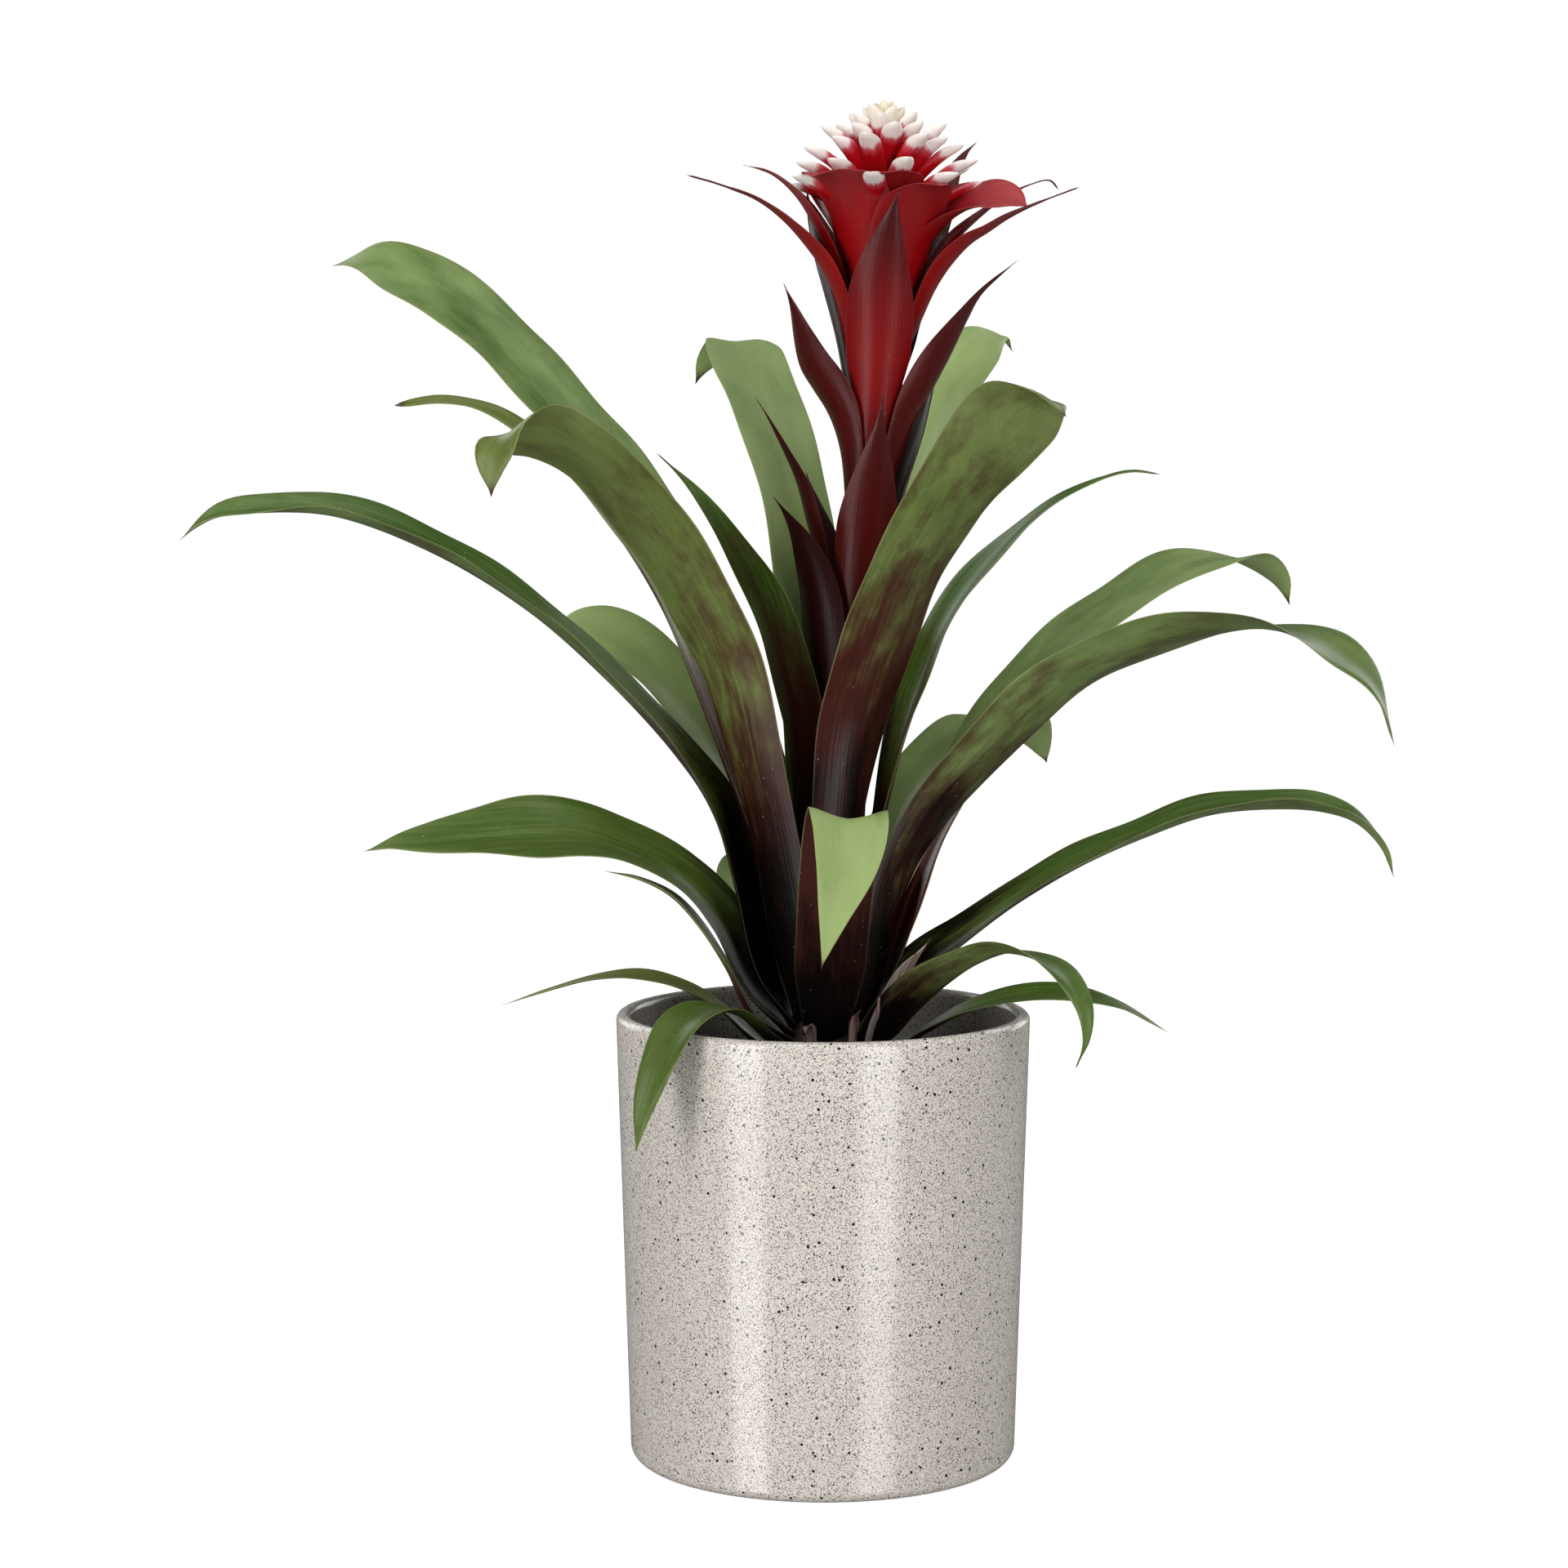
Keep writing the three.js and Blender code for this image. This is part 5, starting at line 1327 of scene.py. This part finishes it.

# %% [markdown]
# ## Flower head
# The head is a spiral of boat-shaped, fleshy floral bracts on a short core. The lowest lie nearly flat, and
# the upper ones stand up and close over the middle. They could be scattered by a rule, but the eye knows
# the star of the real head, so the headings are listed, tier by tier. Each tier is its tip radius, tip
# height and headings. Width and colour change between the three radii of HEAD_RADII. All of it is one
# piece, as the head is one solid in the CAD model.

# %% Flower head table
HEAD_TIERS = [
    (36.0, 430.0, (262, 312, 214, 8, 58, 104, 152)),
    (33.0, 435.5, (283, 343, 236, 205, 30, 80, 126)),
    (27.5, 441.0, (190, 352, 150, 100, 50)),
    (24.0, 443.5, (253, 307, 331, 222)),
    (21.5, 447.5, (196, 340, 20, 65, 115, 160)),
    (16.5, 448.5, (283, 228, 322, 180, 90)),
    (12.0, 452.0, (262, 208, 165, 120, 60, 15, 338)),
    (8.0, 454.5, (145, 298, 25, 235, 90)),
    (3.0, 456.0, (270, 150, 30)),
]
HEAD_RADII = (3, 12, 36)
HEAD_FOOT_LOW_Z = 410.0
HEAD_FOOT_RISE = 0.86
HEAD_WIDTH = 9.4
HEAD_CORE_RADIUS = 5.0
HEAD_CORE_TOP_Z = 449.0
HEAD_CORE_SIDES = 24
FLORET_FOOT_RADIUS = 3.0
FLORET = dict(foot_width=5.5, neck=8.0, neck_at=0.3, blade_at=0.6, taper_at=0.76, tip_power=0.42,
              tail=0.8, gutter_neck=60, gutter_tip=78, foot_wrap=50, keel=0.1, thick=1.6, ripple=0.0,
              curl=0.0, rows=28, cells=12, hugs=False)
# How far out and how far up the bract has come at each point of its spine, as shares of the whole.
FLORET_BOW = ((0.30, 0.42), (0.62, 0.75), (0.86, 0.92))


def floral_bract(heading, tip_radius, tip_z, rng):
    """A floral bract: it rises from the core and bows outwards to its hooded tip."""
    tip_radius = tip_radius + rng.uniform(-0.8, 0.8)
    tip_z = tip_z + rng.uniform(-0.6, 0.6)
    foot_z = HEAD_FOOT_LOW_Z + HEAD_FOOT_RISE * (HEAD_TIERS[0][0] - tip_radius)
    reach = tip_radius - FLORET_FOOT_RADIUS
    rise = tip_z - foot_z
    bow = [(FLORET_FOOT_RADIUS + out * reach, foot_z + up * rise) for out, up in FLORET_BOW]
    spine = [(FLORET_FOOT_RADIUS, foot_z)] + bow + [(tip_radius, tip_z)]
    slim = np.interp(tip_radius, HEAD_RADII, [0.78, 0.95, 1.0])
    return dict(FLORET, heading=heading, spine=spine, blade=HEAD_WIDTH * slim, neck=FLORET["neck"] * slim)


print("floral bracts:", sum(len(headings) for _, _, headings in HEAD_TIERS))

# %% [markdown]
# A floral bract is crimson with a rounded, waxy white tip, and the topmost are cream. The white could be a
# second material on a few faces, but on the plant it breaks up into the red through pink, so one material
# mixes them by the share along the bract. The first tint is where the white starts, and the third how
# creamy it is.

# %% Flower skin
def flower_skin():
    """Crimson wax that breaks up through pink into a white tip; the third tint makes the white creamier."""
    material, tree, shader = new_material("flower_skin", IOR=1.45, Coat_Weight=0.15, Coat_Roughness=0.25)
    skin = blade_inputs(tree)
    fuzzy = plus(tree, skin["along"], around_middle(tree, skin["Streak"], 0.16))
    red = blend(tree, ramp(tree, skin["along"], 0.1, 0.6), picked(110, 3, 8), picked(190, 12, 24))
    past = maths(tree, "SUBTRACT", fuzzy, skin["first"])
    pink = ramp(tree, past, -0.10, 0.02)
    white = ramp(tree, past, -0.01, 0.06)
    colour = blend(tree, times(tree, pink, 0.8), red, picked(214, 92, 110))
    waxy = blend(tree, skin["third"], picked(250, 242, 238), picked(246, 234, 206))
    colour = blend(tree, white, colour, waxy)
    roughness = ramp(tree, white, 0.0, 1.0, 0.32, 0.46)
    feed(tree, shader, colour, roughness, skin["Vein"], 0.00010)
    return material


flower_material = flower_skin()
print("the flower skin has", len(flower_material.node_tree.nodes), "nodes")


# %% Make the flower head
def head_core():
    """The short core that the floral bracts grow from: a turned spindle, red all over."""
    heights = [STEM_TOP_Z + FIT, 412, 430, HEAD_CORE_TOP_Z]
    z = np.linspace(STEM_TOP_Z + FIT, HEAD_CORE_TOP_Z, 14)
    radius = np.interp(z, heights, [STEM_RADIUS_HIGH, HEAD_CORE_RADIUS + 1.5, HEAD_CORE_RADIUS, 1.5])
    radius[0] = radius[-1] = NEAR_AXIS
    points = circles(radius, z, HEAD_CORE_SIDES, STEM_LEAN)
    values = dict(blade=(0.0, 0.0, 0.0), spot=(0.0, 0.0, 0.3), tint=(0.9, 0.0, 0.0))
    return points, {key: np.broadcast_to(value, points.shape) for key, value in values.items()}


def head_tint(tip_radius, rng):
    """White from further down, and creamier, towards the middle of the head."""
    white_from = np.interp(tip_radius, HEAD_RADII, [0.55, 0.72, 0.80]) + rng.uniform(-0.03, 0.03)
    return float(white_from), 0.0, float(np.interp(tip_radius, [4, 14], [0.9, 0.1]))


def make_flower_head():
    """All the floral bracts and the core as one piece: their grids and faces, one after another."""
    rng = np.random.default_rng(11)
    origin = (STEM_LEAN, 0.0, 0.0)
    parts = []
    for tip_radius, tip_z, headings in HEAD_TIERS:
        for heading in headings:
            form = floral_bract(heading, tip_radius, tip_z, rng)
            points, attributes = blade_surface(form, origin, rng.uniform(0.1, 1.0))
            attributes["tint"] = np.broadcast_to(head_tint(tip_radius, rng), points.shape)
            parts.append((points, attributes))
    parts.append(head_core())
    firsts = np.cumsum([0] + [points.shape[0] * points.shape[1] for points, _ in parts])
    faces = [closed_tube(*points.shape[:2], first) for (points, _), first in zip(parts, firsts)]
    joined = {key: np.vstack([attributes[key].reshape(-1, 3) for _, attributes in parts])
              for key in ("blade", "spot", "tint")}
    points = np.vstack([points.reshape(-1, 3) for points, _ in parts])
    return new_piece("flower_head_bracts", points, np.vstack(faces), flower_material, joined)


place(make_flower_head(), "flower_head", "flower_red")
